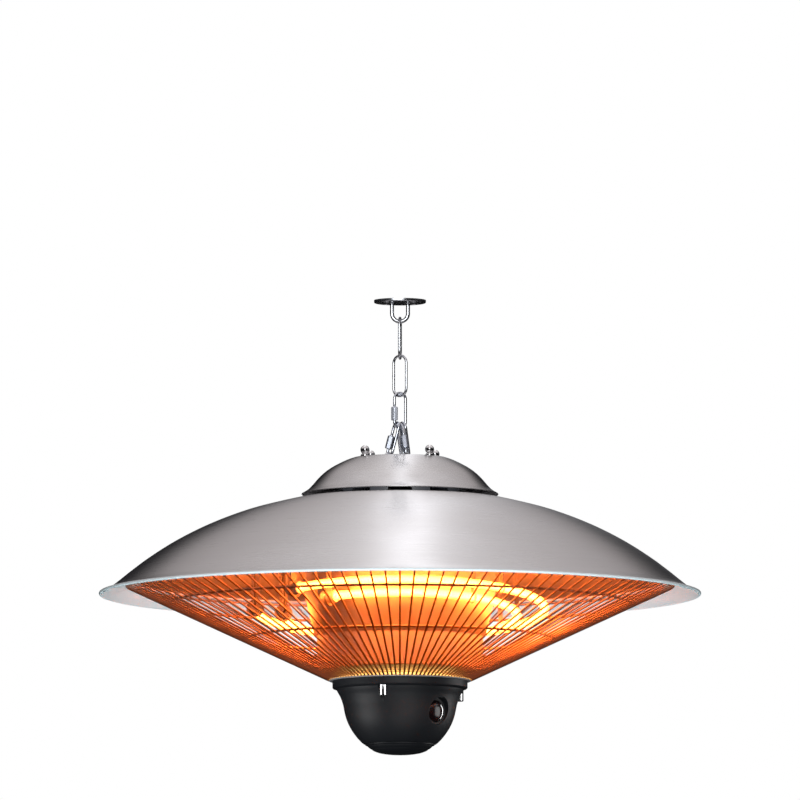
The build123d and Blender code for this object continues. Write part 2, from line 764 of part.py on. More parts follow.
# clips that hook under the guard's top ring, between two wires, screwed to the rim ring
with BuildPart() as guard_clips:
    for az in clip_az:
        d = heading(az)
        plane = Plane(origin=(0, 0, -rim_drop), x_dir=(d.X, d.Y, 0), z_dir=(d.Y, -d.X, 0))
        with BuildSketch(plane.offset(-2.5)):
            with BuildLine():
                Polyline((262.3, 11.0), (268.7, 11.0), (268.7, 7.6), (272.8, 7.6), (272.8, 6.5),
                         (267.5, 6.5), (267.5, 9.8), (262.3, 9.8), close=True)
            make_face()
        extrude(amount=5.0)
    with BuildSketch(level(12)):
        with Locations(*clip_xy):
            Circle(1.65)
    extrude(amount=-4, mode=Mode.SUBTRACT)

with BuildPart() as clip_screws:
    with BuildSketch(level(9.8)):
        with Locations(*clip_xy):
            Circle(2.2)
    extrude(amount=-1.8)
    with BuildSketch(level(9.8)):
        with Locations(*clip_xy):
            Circle(1.5)
    extrude(amount=5.2)
    fillet(clip_screws.edges().group_by(Axis.Z)[0], 0.8)

# black brackets between drum and guard, left and right of the drum's foot
with BuildPart() as guard_brackets:
    for az in (0.0, 180.0):
        d = heading(az)
        plane = Plane(origin=(0, 0, -rim_drop), x_dir=(d.X, d.Y, 0), z_dir=(d.Y, -d.X, 0))
        with BuildSketch(plane.offset(-9)):
            with BuildLine():
                Polyline((83.05, -62.0), (98.5, -62.0), (98.5, -70.2), (90.4, -74.0), (83.05, -75.6),
                         close=True)
            make_face()
        extrude(amount=18)
        fillet(guard_brackets.edges().filter_by(Axis.Z).sort_by(
            lambda e: -abs(e.center().X))[:2], 1.5)

# ---------------------------------------------------------------- grey disc and control bowl
with BuildPart() as base_disc:
    with BuildSketch(level(-87.4)):
        Circle(disc_r)
        Circle(12.3, mode=Mode.SUBTRACT)
        with Locations(*screw_xy):
            Circle(2.1, mode=Mode.SUBTRACT)
    extrude(amount=1.4)
    fillet(base_disc.edges().sort_by(SortBy.LENGTH)[-2:], 0.5)

bowl_line = [(63.4, -96.0), (62.2, -98.6), (60.2, -102.0), (58.3, -106.5), (56.9, -111.0), (55.9, -116.0),
             (54.8, -121.0), (53.3, -126.0), (51.2, -131.0), (48.5, -136.0), (45.1, -141.0), (41.0, -146.0),
             (36.4, -150.3)]
bowl_wall = 2.2
bowl_inner = inset(bowl_line, bowl_wall)
with BuildPart() as bowl_room:       # the hollow of the bowl, less the bosses that stand in it
    with BuildSketch(section):
        with BuildLine():
            Polyline((0, -86.0), (65.3, -86.0), (65.3, -92.6), (62.6, -93.2), bowl_inner[0])
            Spline(*bowl_inner)
            Polyline(bowl_inner[-1], (34.2, -149.2), (34.2, -152.0), (0, -152.0), (0, -86.0))
        make_face()
    revolve(axis=Axis.Z)
    with BuildSketch(level(-87.4)):
        with Locations(*screw_xy):
            Circle(7.2)
    extrude(amount=-29.0, mode=Mode.SUBTRACT)
    with BuildSketch(upright(lens_az, 41.5, lens_h)):
        Circle(16.0)
    extrude(amount=16.0, mode=Mode.SUBTRACT)

with BuildPart() as housing:
    with BuildSketch(section):
        with BuildLine():
            Polyline((0, -87.4), (67.5, -87.4), (67.5, -94.0), (66.6, -95.0), (64.6, -95.2), bowl_line[0])
            Spline(*bowl_line)
            Polyline(bowl_line[-1], (0, -150.3), (0, -87.4))
        make_face()
    revolve(axis=Axis.Z)
    add(bowl_room.part, mode=Mode.SUBTRACT)
    # screw notches that run out into the narrowing bowl, and the screw holes above them
    for az, (x, y) in zip(screw_az, screw_xy):
        with BuildSketch(level(-95.2)):
            with Locations(Location((x, y, 0), (0, 0, az))):
                Circle(4.7)
                with Locations((4.7, 0)):
                    Rectangle(9.4, 9.4)
        extrude(amount=-20.8, mode=Mode.SUBTRACT)
    with BuildSketch(level(-87.0)):
        with Locations(*screw_xy):
            Circle(2.1)
    extrude(amount=-9.2, mode=Mode.SUBTRACT)
    # round recess and the bore of the receiver
    with BuildSketch(upright(lens_az, 47.0, lens_h)):
        Circle(13.6)
    extrude(amount=14.0, mode=Mode.SUBTRACT)
    with BuildSketch(upright(lens_az, 36.0, lens_h)):
        Circle(7.0)
    extrude(amount=14.0, mode=Mode.SUBTRACT)

with BuildPart() as housing_bottom_cap:
    with BuildSketch(section):
        with BuildLine():
            Line((0, -150.3), (34.8, -150.3))
            Line((34.8, -150.3), (34.8, -151.3))
            Polyline((34.8, -151.3), (33.9, -152.0), (32.6, -152.3), (32.2, -152.9), (30.9, -154.1),
                     (29.6, -155.1), (28.4, -155.5), (28.0, -156.2))
            Spline((28.0, -156.2), (25.6, -157.5), (20.8, -159.2), (12.0, -160.6), (0, -161.0),
                   tangents=[(-1, -0.6), (-1, 0)])
            Line((0, -161.0), (0, -158.8))
            Spline((0, -158.8), (11.4, -158.4), (19.8, -157.1), (25.0, -155.1), (29.6, -152.7),
                   tangents=[(1, 0), (1, 0.6)])
            Line((29.6, -152.7), (0, -152.7))
            Line((0, -152.7), (0, -150.3))
        make_face()
    revolve(axis=Axis.Z)

with BuildPart() as housing_screws:
    with BuildSketch(level(-95.2)):
        with Locations(*screw_xy):
            Circle(2.0)
    extrude(amount=11.4)
    with BuildSketch(level(-95.2)):
        with Locations(*screw_xy):
            Circle(4.0)
    extrude(amount=-11.3)
    fillet(housing_screws.edges().group_by(Axis.Z)[0], 0.9)

with BuildPart() as receiver_lens:
    with BuildSketch(upright(lens_az, 47.8, lens_h)):
        Circle(10.9)
    extrude(amount=4.6)
    fillet(receiver_lens.edges().sort_by(lambda e: (e.center() - upright(lens_az, 52.4, lens_h).origin).length)[0], 2.8)
    with BuildSketch(upright(lens_az, 43.0, lens_h)):
        Circle(6.6)
    extrude(amount=4.8)

with BuildPart() as lens_bezel:
    with BuildSketch(upright(lens_az, 47.05, lens_h)):
        Circle(13.3)
        Circle(11.1, mode=Mode.SUBTRACT)
    extrude(amount=2.2)
    with BuildSketch(upright(lens_az, 47.05, lens_h)):
        Circle(11.4)
        Circle(6.8, mode=Mode.SUBTRACT)
    extrude(amount=0.7)

# ---------------------------------------------------------------- electrics
with BuildPart() as control_board:
    with BuildSketch(level(-110.0)):
        Rectangle(60.0, 52.0)
        with Locations((-24, 20), (24, 20), (-24, -20), (24, -20)):
            Circle(1.6, mode=Mode.SUBTRACT)
    extrude(amount=1.6)
    # four posts up to the grey disc
    with BuildSketch(level(-108.4)):
        with Locations((-24, 20), (24, 20), (-24, -20), (24, -20)):
            Circle(3.0)
    extrude(amount=21.0)

with BuildPart() as power_relays:
    with BuildSketch(level(-110.0)):
        with Locations((-18.0, 12.0), (-18.0, -8.0)):
            Rectangle(19.0, 15.5)
    extrude(amount=-15.5)
    chamfer(power_relays.edges().group_by(Axis.Z)[0], 0.8)

with BuildPart() as transformer:
    with BuildSketch(level(-110.0)):
        with Locations((10.0, 10.0)):
            Rectangle(26.0, 22.0)
    extrude(amount=-18.0)
    with BuildSketch(level(-113.0)):
        with Locations((10.0, 10.0)):
            Rectangle(20.0, 28.0)
    extrude(amount=-12.0)

with BuildPart() as terminal_block:
    with BuildSketch(level(106.5)):
        with Locations((0.0, -32.0)):
            Rectangle(32.0, 14.0)
    extrude(amount=12.0)
    with BuildSketch(level(118.5)):
        with Locations((0.0, -32.0)):
            with GridLocations(10.0, 8.0, 3, 2):
                Circle(2.2)
    extrude(amount=-5.0, mode=Mode.SUBTRACT)

with BuildPart() as thermal_cutout:
    with BuildSketch(level(94.5)):
        with Locations((0.0, 47.0)):
            Rectangle(22.0, 9.0)
    extrude(amount=-1.2)
    with BuildSketch(level(93.3)):
        with Locations((0.0, 47.0)):
            Circle(7.5)
    extrude(amount=-6.5)

# wires from the terminal block over the centre tube's mouth and down to the board
with BuildPart() as internal_wires:
    with BuildLine() as bundle:
        FilletPolyline((0, -24.8, 114.5 - rim_drop), (0, 2.5, 116.5 - rim_drop), (0, 4.2, -107.9 - rim_drop),
                       radius=5.5)
    with BuildSketch(Plane(origin=bundle.line @ 0, z_dir=bundle.line % 0)):
        Circle(2.4)
    sweep(path=bundle.line)

# ---------------------------------------------------------------- write the pieces
pieces = {
    "ceiling_plate": ceiling_plate, "ceiling_hook": ceiling_hook,
    "chain_link_upper": chain_link_upper, "chain_link_lower": chain_link_lower,
    "master_link": master_link, "master_link_nut": master_link_nut,
    "leg_link_left": leg_link_left, "leg_link_centre": leg_link_centre, "leg_link_right": leg_link_right,
    "leg_link_left_nut": leg_link_left_nut, "leg_link_centre_nut": leg_link_centre_nut,
    "leg_link_right_nut": leg_link_right_nut,
    "hanger_eyes": hanger_eyes, "eye_nuts": eye_nuts, "hanger_plate": hanger_plate,
    "cable_gland": cable_gland, "gland_locknut": gland_locknut,
    "cap": cap, "cap_nuts": cap_nuts, "cap_washers": cap_washers, "cap_studs": cap_studs,
    "stud_nuts": stud_nuts, "stud_spacers": stud_spacers, "mounting_plate": mounting_plate,
    "neck_ring": neck_ring, "shade": shade, "rim_ring": rim_ring, "carrier_plate": carrier_plate,
    "drum_upper": drum_upper, "drum_lower": drum_lower, "column_tube": column_tube,
    "column_nuts": column_nuts, "reflector": reflector,
    "lamp_tube_outer": lamp_tube_outer, "lamp_tube_inner": lamp_tube_inner,
    "filament_outer": filament_outer, "filament_inner": filament_inner,
    "lamp_end_caps": lamp_end_caps, "lamp_holders": lamp_holders, "tube_supports": tube_supports,
    "lamp_leads": lamp_leads,
    "guard_wires": guard_wires, "guard_top_ring": guard_top_ring, "guard_mid_rings": guard_mid_rings,
    "guard_bottom_ring": guard_bottom_ring, "guard_clips": guard_clips, "clip_screws": clip_screws,
    "guard_brackets": guard_brackets,
    "base_disc": base_disc, "housing": housing, "housing_bottom_cap": housing_bottom_cap,
    "housing_screws": housing_screws, "receiver_lens": receiver_lens, "lens_bezel": lens_bezel,
    "control_board": control_board, "power_relays": power_relays, "transformer": transformer,
    "terminal_block": terminal_block, "thermal_cutout": thermal_cutout, "internal_wires": internal_wires,
}
for name, piece in pieces.items():
    piece.part.label = name
    export_step(piece.part, f"parts/{name}.step")

print("pieces", len(pieces))
print("chain heights above rim: hook bar %.2f, upper link %.2f, lower link %.2f, master %.2f to %.2f" % (
    hook_bar, upper_mid, lower_mid, master_top, master_low))
for label, plane, top, foot in (("left", plane_l, top_l, foot_l), ("centre", plane_c, top_c, foot_c), ("right", plane_r, top_r, foot_r)):
    print(label, "top", tuple(round(v, 3) for v in top), "foot", tuple(round(v, 3) for v in foot),
          "up", tuple(round(v, 4) for v in plane.y_dir))
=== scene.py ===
import math
import random

import bmesh
import bpy
from mathutils import Matrix, Vector


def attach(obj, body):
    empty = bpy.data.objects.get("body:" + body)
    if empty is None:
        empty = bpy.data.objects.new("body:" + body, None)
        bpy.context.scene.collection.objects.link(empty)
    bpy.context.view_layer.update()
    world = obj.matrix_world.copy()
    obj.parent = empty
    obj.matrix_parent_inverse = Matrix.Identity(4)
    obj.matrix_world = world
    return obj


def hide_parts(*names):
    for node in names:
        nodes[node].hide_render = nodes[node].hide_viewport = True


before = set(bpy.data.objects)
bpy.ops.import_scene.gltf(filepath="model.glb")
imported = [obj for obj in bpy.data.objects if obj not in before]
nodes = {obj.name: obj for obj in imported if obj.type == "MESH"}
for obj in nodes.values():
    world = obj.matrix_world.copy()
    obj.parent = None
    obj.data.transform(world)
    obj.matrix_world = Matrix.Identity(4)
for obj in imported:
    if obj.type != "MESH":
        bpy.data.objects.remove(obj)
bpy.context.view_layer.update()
scene = bpy.context.scene
random.seed(7)

# Sizes below are in millimetres in the row frame's directions; heights h are above the
# shade's rim plane, which hangs RIM below the ceiling.
RIM = 295.0
MM = 0.001


def P(x, y, h):
    """Millimetre point with its height above the rim plane, as a frame point in metres."""
    return Vector((x * MM, y * MM, (h - RIM) * MM))


# ------------------------------------------------------------------ mesh helpers
def link(obj):
    scene.collection.objects.link(obj)
    return obj


def mesh_object(name, verts, faces, smooth=True, sharp=35.0):
    me = bpy.data.meshes.new(name)
    me.from_pydata([tuple(v) for v in verts], [], faces)
    me.validate()
    bm = bmesh.new()
    bm.from_mesh(me)
    bmesh.ops.recalc_face_normals(bm, faces=bm.faces)
    bm.to_mesh(me)
    bm.free()
    if smooth:
        me.polygons.foreach_set("use_smooth", [True] * len(me.polygons))
        me.set_sharp_from_angle(angle=math.radians(sharp))
    me.update()
    return link(bpy.data.objects.new(name, me))


def smooth_line(points, per=6):
    """Catmull-Rom line through the points, 'per' steps between each two."""
    out = []
    n = len(points)
    for i in range(n - 1):
        p0 = points[max(i - 1, 0)]
        p1, p2 = points[i], points[i + 1]
        p3 = points[min(i + 2, n - 1)]
        for k in range(per):
            t = k / per
            q = []
            for a, b, c, d in zip(p0, p1, p2, p3):
                q.append(0.5 * (2 * b + (c - a) * t + (2 * a - 5 * b + 4 * c - d) * t * t
                                + (3 * b - a - 3 * c + d) * t ** 3))
            out.append(tuple(q))
    out.append(tuple(points[-1]))
    return out


def inset(points, t):
    """Profile points moved to the right of the line's run by t."""
    out = []
    for i, (x, z) in enumerate(points):
        a = points[max(i - 1, 0)]
        b = points[min(i + 1, len(points) - 1)]
        dx, dz = b[0] - a[0], b[1] - a[1]
        n = math.hypot(dx, dz)
        out.append((x + dz / n * t, z - dx / n * t))
    return out


def round_corners(points, radius, steps=4, closed=True):
    """Polygon with its corners rounded."""
    out = []
    n = len(points)
    for i in range(n):
        if not closed and i in (0, n - 1):
            out.append(tuple(points[i]))
            continue
        p = Vector(points[i])
        a = Vector(points[i - 1]) - p
        b = Vector(points[(i + 1) % n]) - p
        ang = a.angle(b, math.pi)
        if ang > math.radians(172):
            out.append(tuple(p))
            continue
        cut = min(radius / math.tan(ang / 2), a.length * 0.45, b.length * 0.45)
        s, e = p + a.normalized() * cut, p + b.normalized() * cut
        for k in range(steps + 1):
            t = k / steps
            out.append(tuple((1 - t) ** 2 * s + 2 * t * (1 - t) * p + t * t * e))
    return out


def lathe(name, profile, segments=192, closed=True, sharp=35.0, centre=(0.0, 0.0), axis=None):
    """Surface of revolution about the vertical axis, or about axis = (origin, x, y, z) vectors."""
    verts, rows = [], []
    for r, h in profile:
        if abs(r) < 1e-6:
            rows.append([len(verts)] * segments)
            verts.append((0.0, 0.0, h))
            continue
        row = []
        for k in range(segments):
            a = 2 * math.pi * k / segments
            row.append(len(verts))
            verts.append((r * math.cos(a), r * math.sin(a), h))
        rows.append(row)
    faces = []
    count = len(rows) if closed else len(rows) - 1
    for i in range(count):
        a, b = rows[i], rows[(i + 1) % len(rows)]
        for k in range(segments):
            m = (k + 1) % segments
            quad = [a[k], a[m], b[m], b[k]]
            face = []
            for v in quad:
                if v not in face:
                    face.append(v)
            if len(face) > 2:
                faces.append(face)
    if axis is None:
        pts = [P(x + centre[0], y + centre[1], h) for x, y, h in verts]
    else:
        o, ax, ay, az = axis
        pts = [o + (ax * x + ay * y + az * h) * MM for x, y, h in verts]
    return mesh_object(name, pts, faces, sharp=sharp)


def frames_along(points, closed=False):
    """Directions and cross directions along a line, turned as little as possible."""
    n = len(points)
    tangents = []
    for i in range(n):
        a = points[i - 1] if (i > 0 or closed) else points[i]
        b = points[(i + 1) % n] if (i < n - 1 or closed) else points[i]
        tangents.append((b - a).normalized())
    ref = Vector((0, 0, 1))
    if abs(tangents[0].dot(ref)) > 0.9:
        ref = Vector((1, 0, 0))
    u = (ref - tangents[0] * ref.dot(tangents[0])).normalized()
    us = [u]
    for i in range(1, n):
        u = us[-1] - tangents[i] * us[-1].dot(tangents[i])
        us.append(u.normalized())
    if closed:
        # spread what is left of the turn over the loop
        last = us[-1] - tangents[0] * us[-1].dot(tangents[0])
        last.normalize()
        twist = math.atan2(tangents[0].dot(last.cross(us[0])), last.dot(us[0]))
        us = [Matrix.Rotation(twist * i / n, 3, tangents[i]) @ us[i] for i in range(n)]
    return tangents, us


def tube(points, radius, sides=12, closed=False, ends=True, vary=None):
    """Verts and faces of a round wire along points (metres). radius in metres."""
    tangents, us = frames_along(points, closed)
    verts, faces = [], []
    n = len(points)
    for i, p in enumerate(points):
        r = radius * (vary(i / max(n - 1, 1)) if vary else 1.0)
        v = tangents[i].cross(us[i])
        for k in range(sides):
            a = 2 * math.pi * k / sides
            verts.append(p + us[i] * (math.cos(a) * r) + v * (math.sin(a) * r))
    last = n if closed else n - 1
    for i in range(last):
        for k in range(sides):
            m = (k + 1) % sides
            a, b = i * sides, ((i + 1) % n) * sides
            faces.append([a + k, a + m, b + m, b + k])
    if ends and not closed:
        for base, tip, s in ((0, points[0] - tangents[0] * radius * 0.35, 0),
                             ((n - 1) * sides, points[-1] + tangents[-1] * radius * 0.35, 1)):
            ring_r = 0.72
            c = points[0] if s == 0 else points[-1]
            tan = tangents[0] if s == 0 else tangents[-1]
            out = -tan if s == 0 else tan
            start = len(verts)
            for k in range(sides):
                verts.append(c + (verts[base + k] - c) * ring_r + out * radius * 0.25)
            for k in range(sides):
                m = (k + 1) % sides
                faces.append([base + k, base + m, start + m, start + k])
            faces.append([start + k for k in range(sides)])
    return verts, faces


def joined(parts):
    """Several (verts, faces) as one."""
    verts, faces = [], []
    for vs, fs in parts:
        off = len(verts)
        verts.extend(vs)
        faces.extend([[i + off for i in f] for f in fs])
    return verts, faces


def ball(centre, rx, ry, rz, x_dir=Vector((1, 0, 0)), z_dir=Vector((0, 0, 1)), rings=6, sides=10):
    """Verts and faces of a small ellipsoid, used for weld beads."""
    z = z_dir.normalized()
    x = (x_dir - z * x_dir.dot(z)).normalized()
    y = z.cross(x)
    verts = [centre + z * rz]
    for i in range(1, rings):
        t = math.pi * i / rings
        for k in range(sides):
            a = 2 * math.pi * k / sides
            verts.append(centre + x * (rx * math.sin(t) * math.cos(a)) + y * (ry * math.sin(t) * math.sin(a))
                         + z * (rz * math.cos(t)))
    verts.append(centre - z * rz)
    faces = []
    for k in range(sides):
        faces.append([0, 1 + k, 1 + (k + 1) % sides])
    for i in range(rings - 2):
        for k in range(sides):
            m = (k + 1) % sides
            a, b = 1 + i * sides, 1 + (i + 1) * sides
            faces.append([a + k, b + k, b + m, a + m])
    end = len(verts) - 1
    base = 1 + (rings - 2) * sides
    for k in range(sides):
        faces.append([end, base + (k + 1) % sides, base + k])
    return verts, faces


# ------------------------------------------------------------------ material helpers
class Tree:
    """Small wrapper round a material's node tree."""

    def __init__(self, name):
        self.mat = bpy.data.materials.new(name)
        self.mat.use_nodes = True
        self.t = self.mat.node_tree
        self.t.nodes.clear()
        self.out = self.t.nodes.new("ShaderNodeOutputMaterial")
        self.bsdf = self.t.nodes.new("ShaderNodeBsdfPrincipled")
        self.t.links.new(self.bsdf.outputs[0], self.out.inputs[0])

    def node(self, kind, **values):
        n = self.t.nodes.new("ShaderNode" + kind)
        for k, v in values.items():
            setattr(n, k, v)
        return n

    def wire(self, a, b):
        self.t.links.new(a, b)

    def set(self, **values):
        for k, v in values.items():
            self.bsdf.inputs[k.replace("_", " ")].default_value = v

    def coords(self):
        return self.node("TexCoord").outputs["Object"]

    def scaled(self, vec, x, y, z):
        m = self.node("VectorMath", operation="MULTIPLY")
        m.inputs[1].default_value = (x, y, z)
        self.wire(vec, m.inputs[0])
        return m.outputs[0]

    def noise(self, vec, scale, detail=3.0, rough=0.55, distortion=0.0):
        n = self.node("TexNoise")
        n.inputs["Scale"].default_value = scale
        n.inputs["Detail"].default_value = detail
        n.inputs["Roughness"].default_value = rough
        n.inputs["Distortion"].default_value = distortion
        self.wire(vec, n.inputs["Vector"])
        return n.outputs["Fac"] if "Fac" in n.outputs else n.outputs[0]

    def ramp(self, fac, stops, mode="LINEAR"):
        r = self.node("ValToRGB")
        r.color_ramp.interpolation = mode
        e = r.color_ramp.elements
        while len(e) < len(stops):
            e.new(0.5)
        for el, (pos, col) in zip(e, stops):
            el.position = pos
            el.color = (*col, 1.0) if len(col) == 3 else col
        self.wire(fac, r.inputs[0])
        return r.outputs[0]

    def remap(self, fac, lo, hi, a=0.3, b=0.7):
        m = self.node("MapRange")
        m.inputs["From Min"].default_value = a
        m.inputs["From Max"].default_value = b
        m.inputs["To Min"].default_value = lo
        m.inputs["To Max"].default_value = hi
        self.wire(fac, m.inputs["Value"])
        return m.outputs[0]

    def mix(self, fac, a, b, blend="MIX"):
        m = self.node("Mix", data_type="RGBA", blend_type=blend)
        if isinstance(fac, float):
            m.inputs[0].default_value = fac
        else:
            self.wire(fac, m.inputs[0])
        for sock, v in ((m.inputs[6], a), (m.inputs[7], b)):
            if isinstance(v, tuple):
                sock.default_value = (*v, 1.0)
            else:
                self.wire(v, sock)
        return m.outputs[2]

    def math(self, op, a, b=None):
        m = self.node("Math", operation=op)
        for sock, v in zip(m.inputs, (a, b)):
            if v is None:
                continue
            if isinstance(v, (int, float)):
                sock.default_value = v
            else:
                self.wire(v, sock)
        return m.outputs[0]

    def bump(self, height, strength=0.2, distance=0.0002, normal=None):
        b = self.node("Bump")
        b.inputs["Strength"].default_value = strength
        b.inputs["Distance"].default_value = distance
        self.wire(height, b.inputs["Height"])
        if normal is not None:
            self.wire(normal, b.inputs["Normal"])
        self.wire(b.outputs[0], self.bsdf.inputs["Normal"])
        return b.outputs[0]


def lathe_coords(t, spread=6.0):
    """(cos, sin, run) coordinates round the vertical axis: noise read in them is drawn out into rings."""
    c = t.coords()
    flat = t.scaled(c, 1, 1, 0)
    length = t.node("VectorMath", operation="LENGTH")
    t.wire(flat, length.inputs[0])
    r = length.outputs["Value"]
    unit = t.node("VectorMath", operation="NORMALIZE")
    t.wire(flat, unit.inputs[0])
    sep = t.node("SeparateXYZ")
    t.wire(unit.outputs[0], sep.inputs[0])
    z = t.node("SeparateXYZ")
    t.wire(c, z.inputs[0])
    run = t.math("SUBTRACT", r, z.outputs[2])
    comb = t.node("CombineXYZ")
    t.wire(t.math("MULTIPLY", sep.outputs[0], spread), comb.inputs[0])
    t.wire(t.math("MULTIPLY", sep.outputs[1], spread), comb.inputs[1])
    return comb, run, r


def brushed(name, base, rough=0.30, aniso=0.7, ring_scale=900.0, streak=0.10, bump=0.12, spun=True, tint=None):
    """Metal spun and brushed along the circumference."""
    t = Tree(name)
    comb, run, r = lathe_coords(t, 5.0)
    t.wire(t.math("MULTIPLY", run, ring_scale), comb.inputs[2])
    fine = t.noise(comb.outputs[0], 1.0, 4.0, 0.7)
    comb2, run2, _ = lathe_coords(t, 1.6)
    t.wire(t.math("MULTIPLY", run2, ring_scale * 0.12), comb2.inputs[2])
    broad = t.noise(comb2.outputs[0], 1.0, 3.0, 0.5)
    cloud = t.noise(t.coords(), 9.0, 3.0, 0.6)
    lo = tuple(c * (1 - streak) for c in base)
    hi = tuple(min(1.0, c * (1 + streak * 0.6)) for c in base)
    col = t.ramp(fine, [(0.25, lo), (0.75, hi)])
    col = t.mix(t.remap(broad, 0.0, 0.5), col, tuple(c * 0.93 for c in base))
    if tint:
        col = t.mix(t.remap(cloud, 0.0, 0.35), col, tint)
    t.wire(col, t.bsdf.inputs["Base Color"])
    t.wire(t.math("ADD", t.remap(fine, rough - 0.05, rough + 0.07), t.remap(cloud, -0.02, 0.03)),
           t.bsdf.inputs["Roughness"])
    t.set(Metallic=1.0)
    if aniso:
        t.set(Anisotropic=aniso, Anisotropic_Rotation=0.25)
        tan = t.node("Tangent", direction_type="RADIAL", axis="Z")
        t.wire(tan.outputs[0], t.bsdf.inputs["Tangent"])
    t.bump(fine, bump, 0.00006)
    return t.mat


def metal(name, base, rough=0.25, grain=400.0, var=0.06, bump=0.1, dark=None, scratch=True, metallic=1.0):
    """Plain metal with mottling, fine scratches and slightly uneven gloss."""
    t = Tree(name)
    c = t.coords()
    mott = t.noise(c, grain * 0.25, 4.0, 0.6)
    fine = t.noise(t.scaled(c, 1, 1, 3.0), grain, 3.0, 0.6)
    col = t.ramp(mott, [(0.3, tuple(v * (1 - var) for v in base)), (0.7, tuple(min(1, v * (1 + var)) for v in base))])
    if dark:
        spots = t.noise(c, grain * 0.6, 5.0, 0.75)
        col = t.mix(t.remap(spots, 0.0, 0.8, 0.58, 0.75), col, dark)
    t.wire(col, t.bsdf.inputs["Base Color"])
    t.wire(t.remap(fine, max(0.02, rough - 0.06), rough + 0.08), t.bsdf.inputs["Roughness"])
    t.set(Metallic=metallic)
    t.bump(fine, bump, 0.00005)
    return t.mat


def paint(name, base, rough=0.4, grain=900.0, bump=0.15, var=0.04, coat=0.0, spec=0.5, dist=0.00006):
    """Paint or moulded plastic: fine orange peel or grain, colour slightly uneven."""
    t = Tree(name)
    c = t.coords()
    peel = t.noise(c, grain, 3.0, 0.6)
    cloud = t.noise(c, 14.0, 3.0, 0.6)
    col = t.ramp(cloud, [(0.3, tuple(v * (1 - var) for v in base)), (0.7, tuple(min(1, v * (1 + var)) for v in base))])
    t.wire(col, t.bsdf.inputs["Base Color"])
    t.wire(t.math("ADD", t.remap(peel, rough - 0.05, rough + 0.06), t.remap(cloud, -0.03, 0.03)),
           t.bsdf.inputs["Roughness"])
    t.set(Coat_Weight=coat, Coat_Roughness=0.12, Specular_IOR_Level=spec)
    t.bump(peel, bump, dist)
    return t.mat


def use(obj, material):
    obj.data.materials.clear()
    obj.data.materials.append(material)


def dress(node, material):
    """A carried-over CAD node gets its material."""
    o = nodes[node]
    for i in range(len(o.data.materials)):
        o.data.materials[i] = material
    if not o.data.materials:
        o.data.materials.append(material)


# ------------------------------------------------------------------ materials
M_SHADE = brushed("brushed_shade", (0.74, 0.74, 0.75), rough=0.30, aniso=0.92, ring_scale=850.0, streak=0.10,
                  tint=(0.72, 0.70, 0.69))
M_CAP = brushed("brushed_cap", (0.76, 0.76, 0.77), rough=0.26, aniso=0.92, ring_scale=1000.0, streak=0.12)
M_DRUM = brushed("drum_aluminium", (0.76, 0.75, 0.74), rough=0.55, aniso=0.0, ring_scale=500.0, streak=0.05)
M_REFLECT = brushed("reflector_aluminium", (0.88, 0.87, 0.86), rough=0.56, aniso=0.0, ring_scale=320.0, streak=0.05,
                    bump=0.12)
# guard wires and rings: bright chrome whose colour is tinted copper-orange and darkened, a painted reflection of the
# lamps' orange glow on the wire
M_GLOW_TINTED_CHROME = metal("guard_chrome", (0.60, 0.46, 0.38), rough=0.40, grain=700.0, var=0.05, bump=0.08)
M_RING = metal("ring_chrome", (0.78, 0.74, 0.70), rough=0.45, grain=700.0, var=0.05, bump=0.08)
M_BALL = metal("cap_nut_chrome", (0.80, 0.80, 0.81), rough=0.08, grain=500.0, var=0.03, bump=0.03)
M_ZINC = metal("zinc_steel", (0.74, 0.76, 0.80), rough=0.24, grain=900.0, var=0.10, bump=0.15, dark=(0.5, 0.52, 0.56))
M_QUICK = metal("quick_link_steel", (0.66, 0.69, 0.75), rough=0.22, grain=800.0, var=0.10, bump=0.12,
                dark=(0.45, 0.48, 0.54))
M_NUT = metal("sleeve_nut_steel", (0.70, 0.74, 0.82), rough=0.44, grain=900.0, var=0.08, bump=0.15,
              dark=(0.50, 0.54, 0.62))
# leg nuts: the same sleeve nut steel as the master nut made darker, painted shade so they read less bright than the lit
# master nut
M_SHADED_LEG_NUT = metal("leg_nut_steel", (0.50, 0.53, 0.60), rough=0.46, grain=900.0, var=0.08, bump=0.15,
                  dark=(0.38, 0.41, 0.48))
M_SCREW = metal("screw_chrome", (0.78, 0.78, 0.79), rough=0.14, grain=700.0, var=0.04, bump=0.05)
M_GALV = metal("galvanised", (0.60, 0.61, 0.62), rough=0.38, grain=260.0, var=0.14, bump=0.12, dark=(0.46, 0.47, 0.48))
M_RIM = paint("rim_grey", (0.80, 0.81, 0.82), rough=0.30, grain=1100.0, bump=0.10, var=0.02)
M_HOLDER = metal("holder_steel", (0.55, 0.54, 0.53), rough=0.30, grain=500.0, var=0.12, bump=0.1,
                 dark=(0.32, 0.28, 0.26))
M_CERAMIC = paint("ceramic", (0.86, 0.83, 0.76), rough=0.55, grain=1400.0, bump=0.25, var=0.05)
M_BRACKET = paint("black_bracket", (0.012, 0.012, 0.012), rough=0.5, grain=1200.0, bump=0.2)
M_NECK = paint("neck_black", (0.055, 0.058, 0.068), rough=0.45, grain=1200.0, bump=0.2)
M_DISC = paint("disc_grey", (0.62, 0.64, 0.67), rough=0.35, grain=1000.0, bump=0.12)
M_BOWL = paint("bowl_black", (0.019, 0.022, 0.027), rough=0.47, grain=1500.0, bump=0.22, var=0.12)
M_BEZEL = paint("bezel", (0.012, 0.012, 0.013), rough=0.35, grain=1500.0, bump=0.15)
M_BOARD = paint("board_green", (0.03, 0.16, 0.07), rough=0.3, grain=600.0, bump=0.1, coat=0.3)
M_RELAY = paint("relay_black", (0.02, 0.02, 0.024), rough=0.28, grain=900.0, bump=0.1)
M_IRON = metal("transformer_iron", (0.30, 0.28, 0.26), rough=0.5, grain=500.0, var=0.2, bump=0.3)
M_TERMINAL = paint("terminal_white", (0.78, 0.76, 0.70), rough=0.4, grain=900.0, bump=0.12)
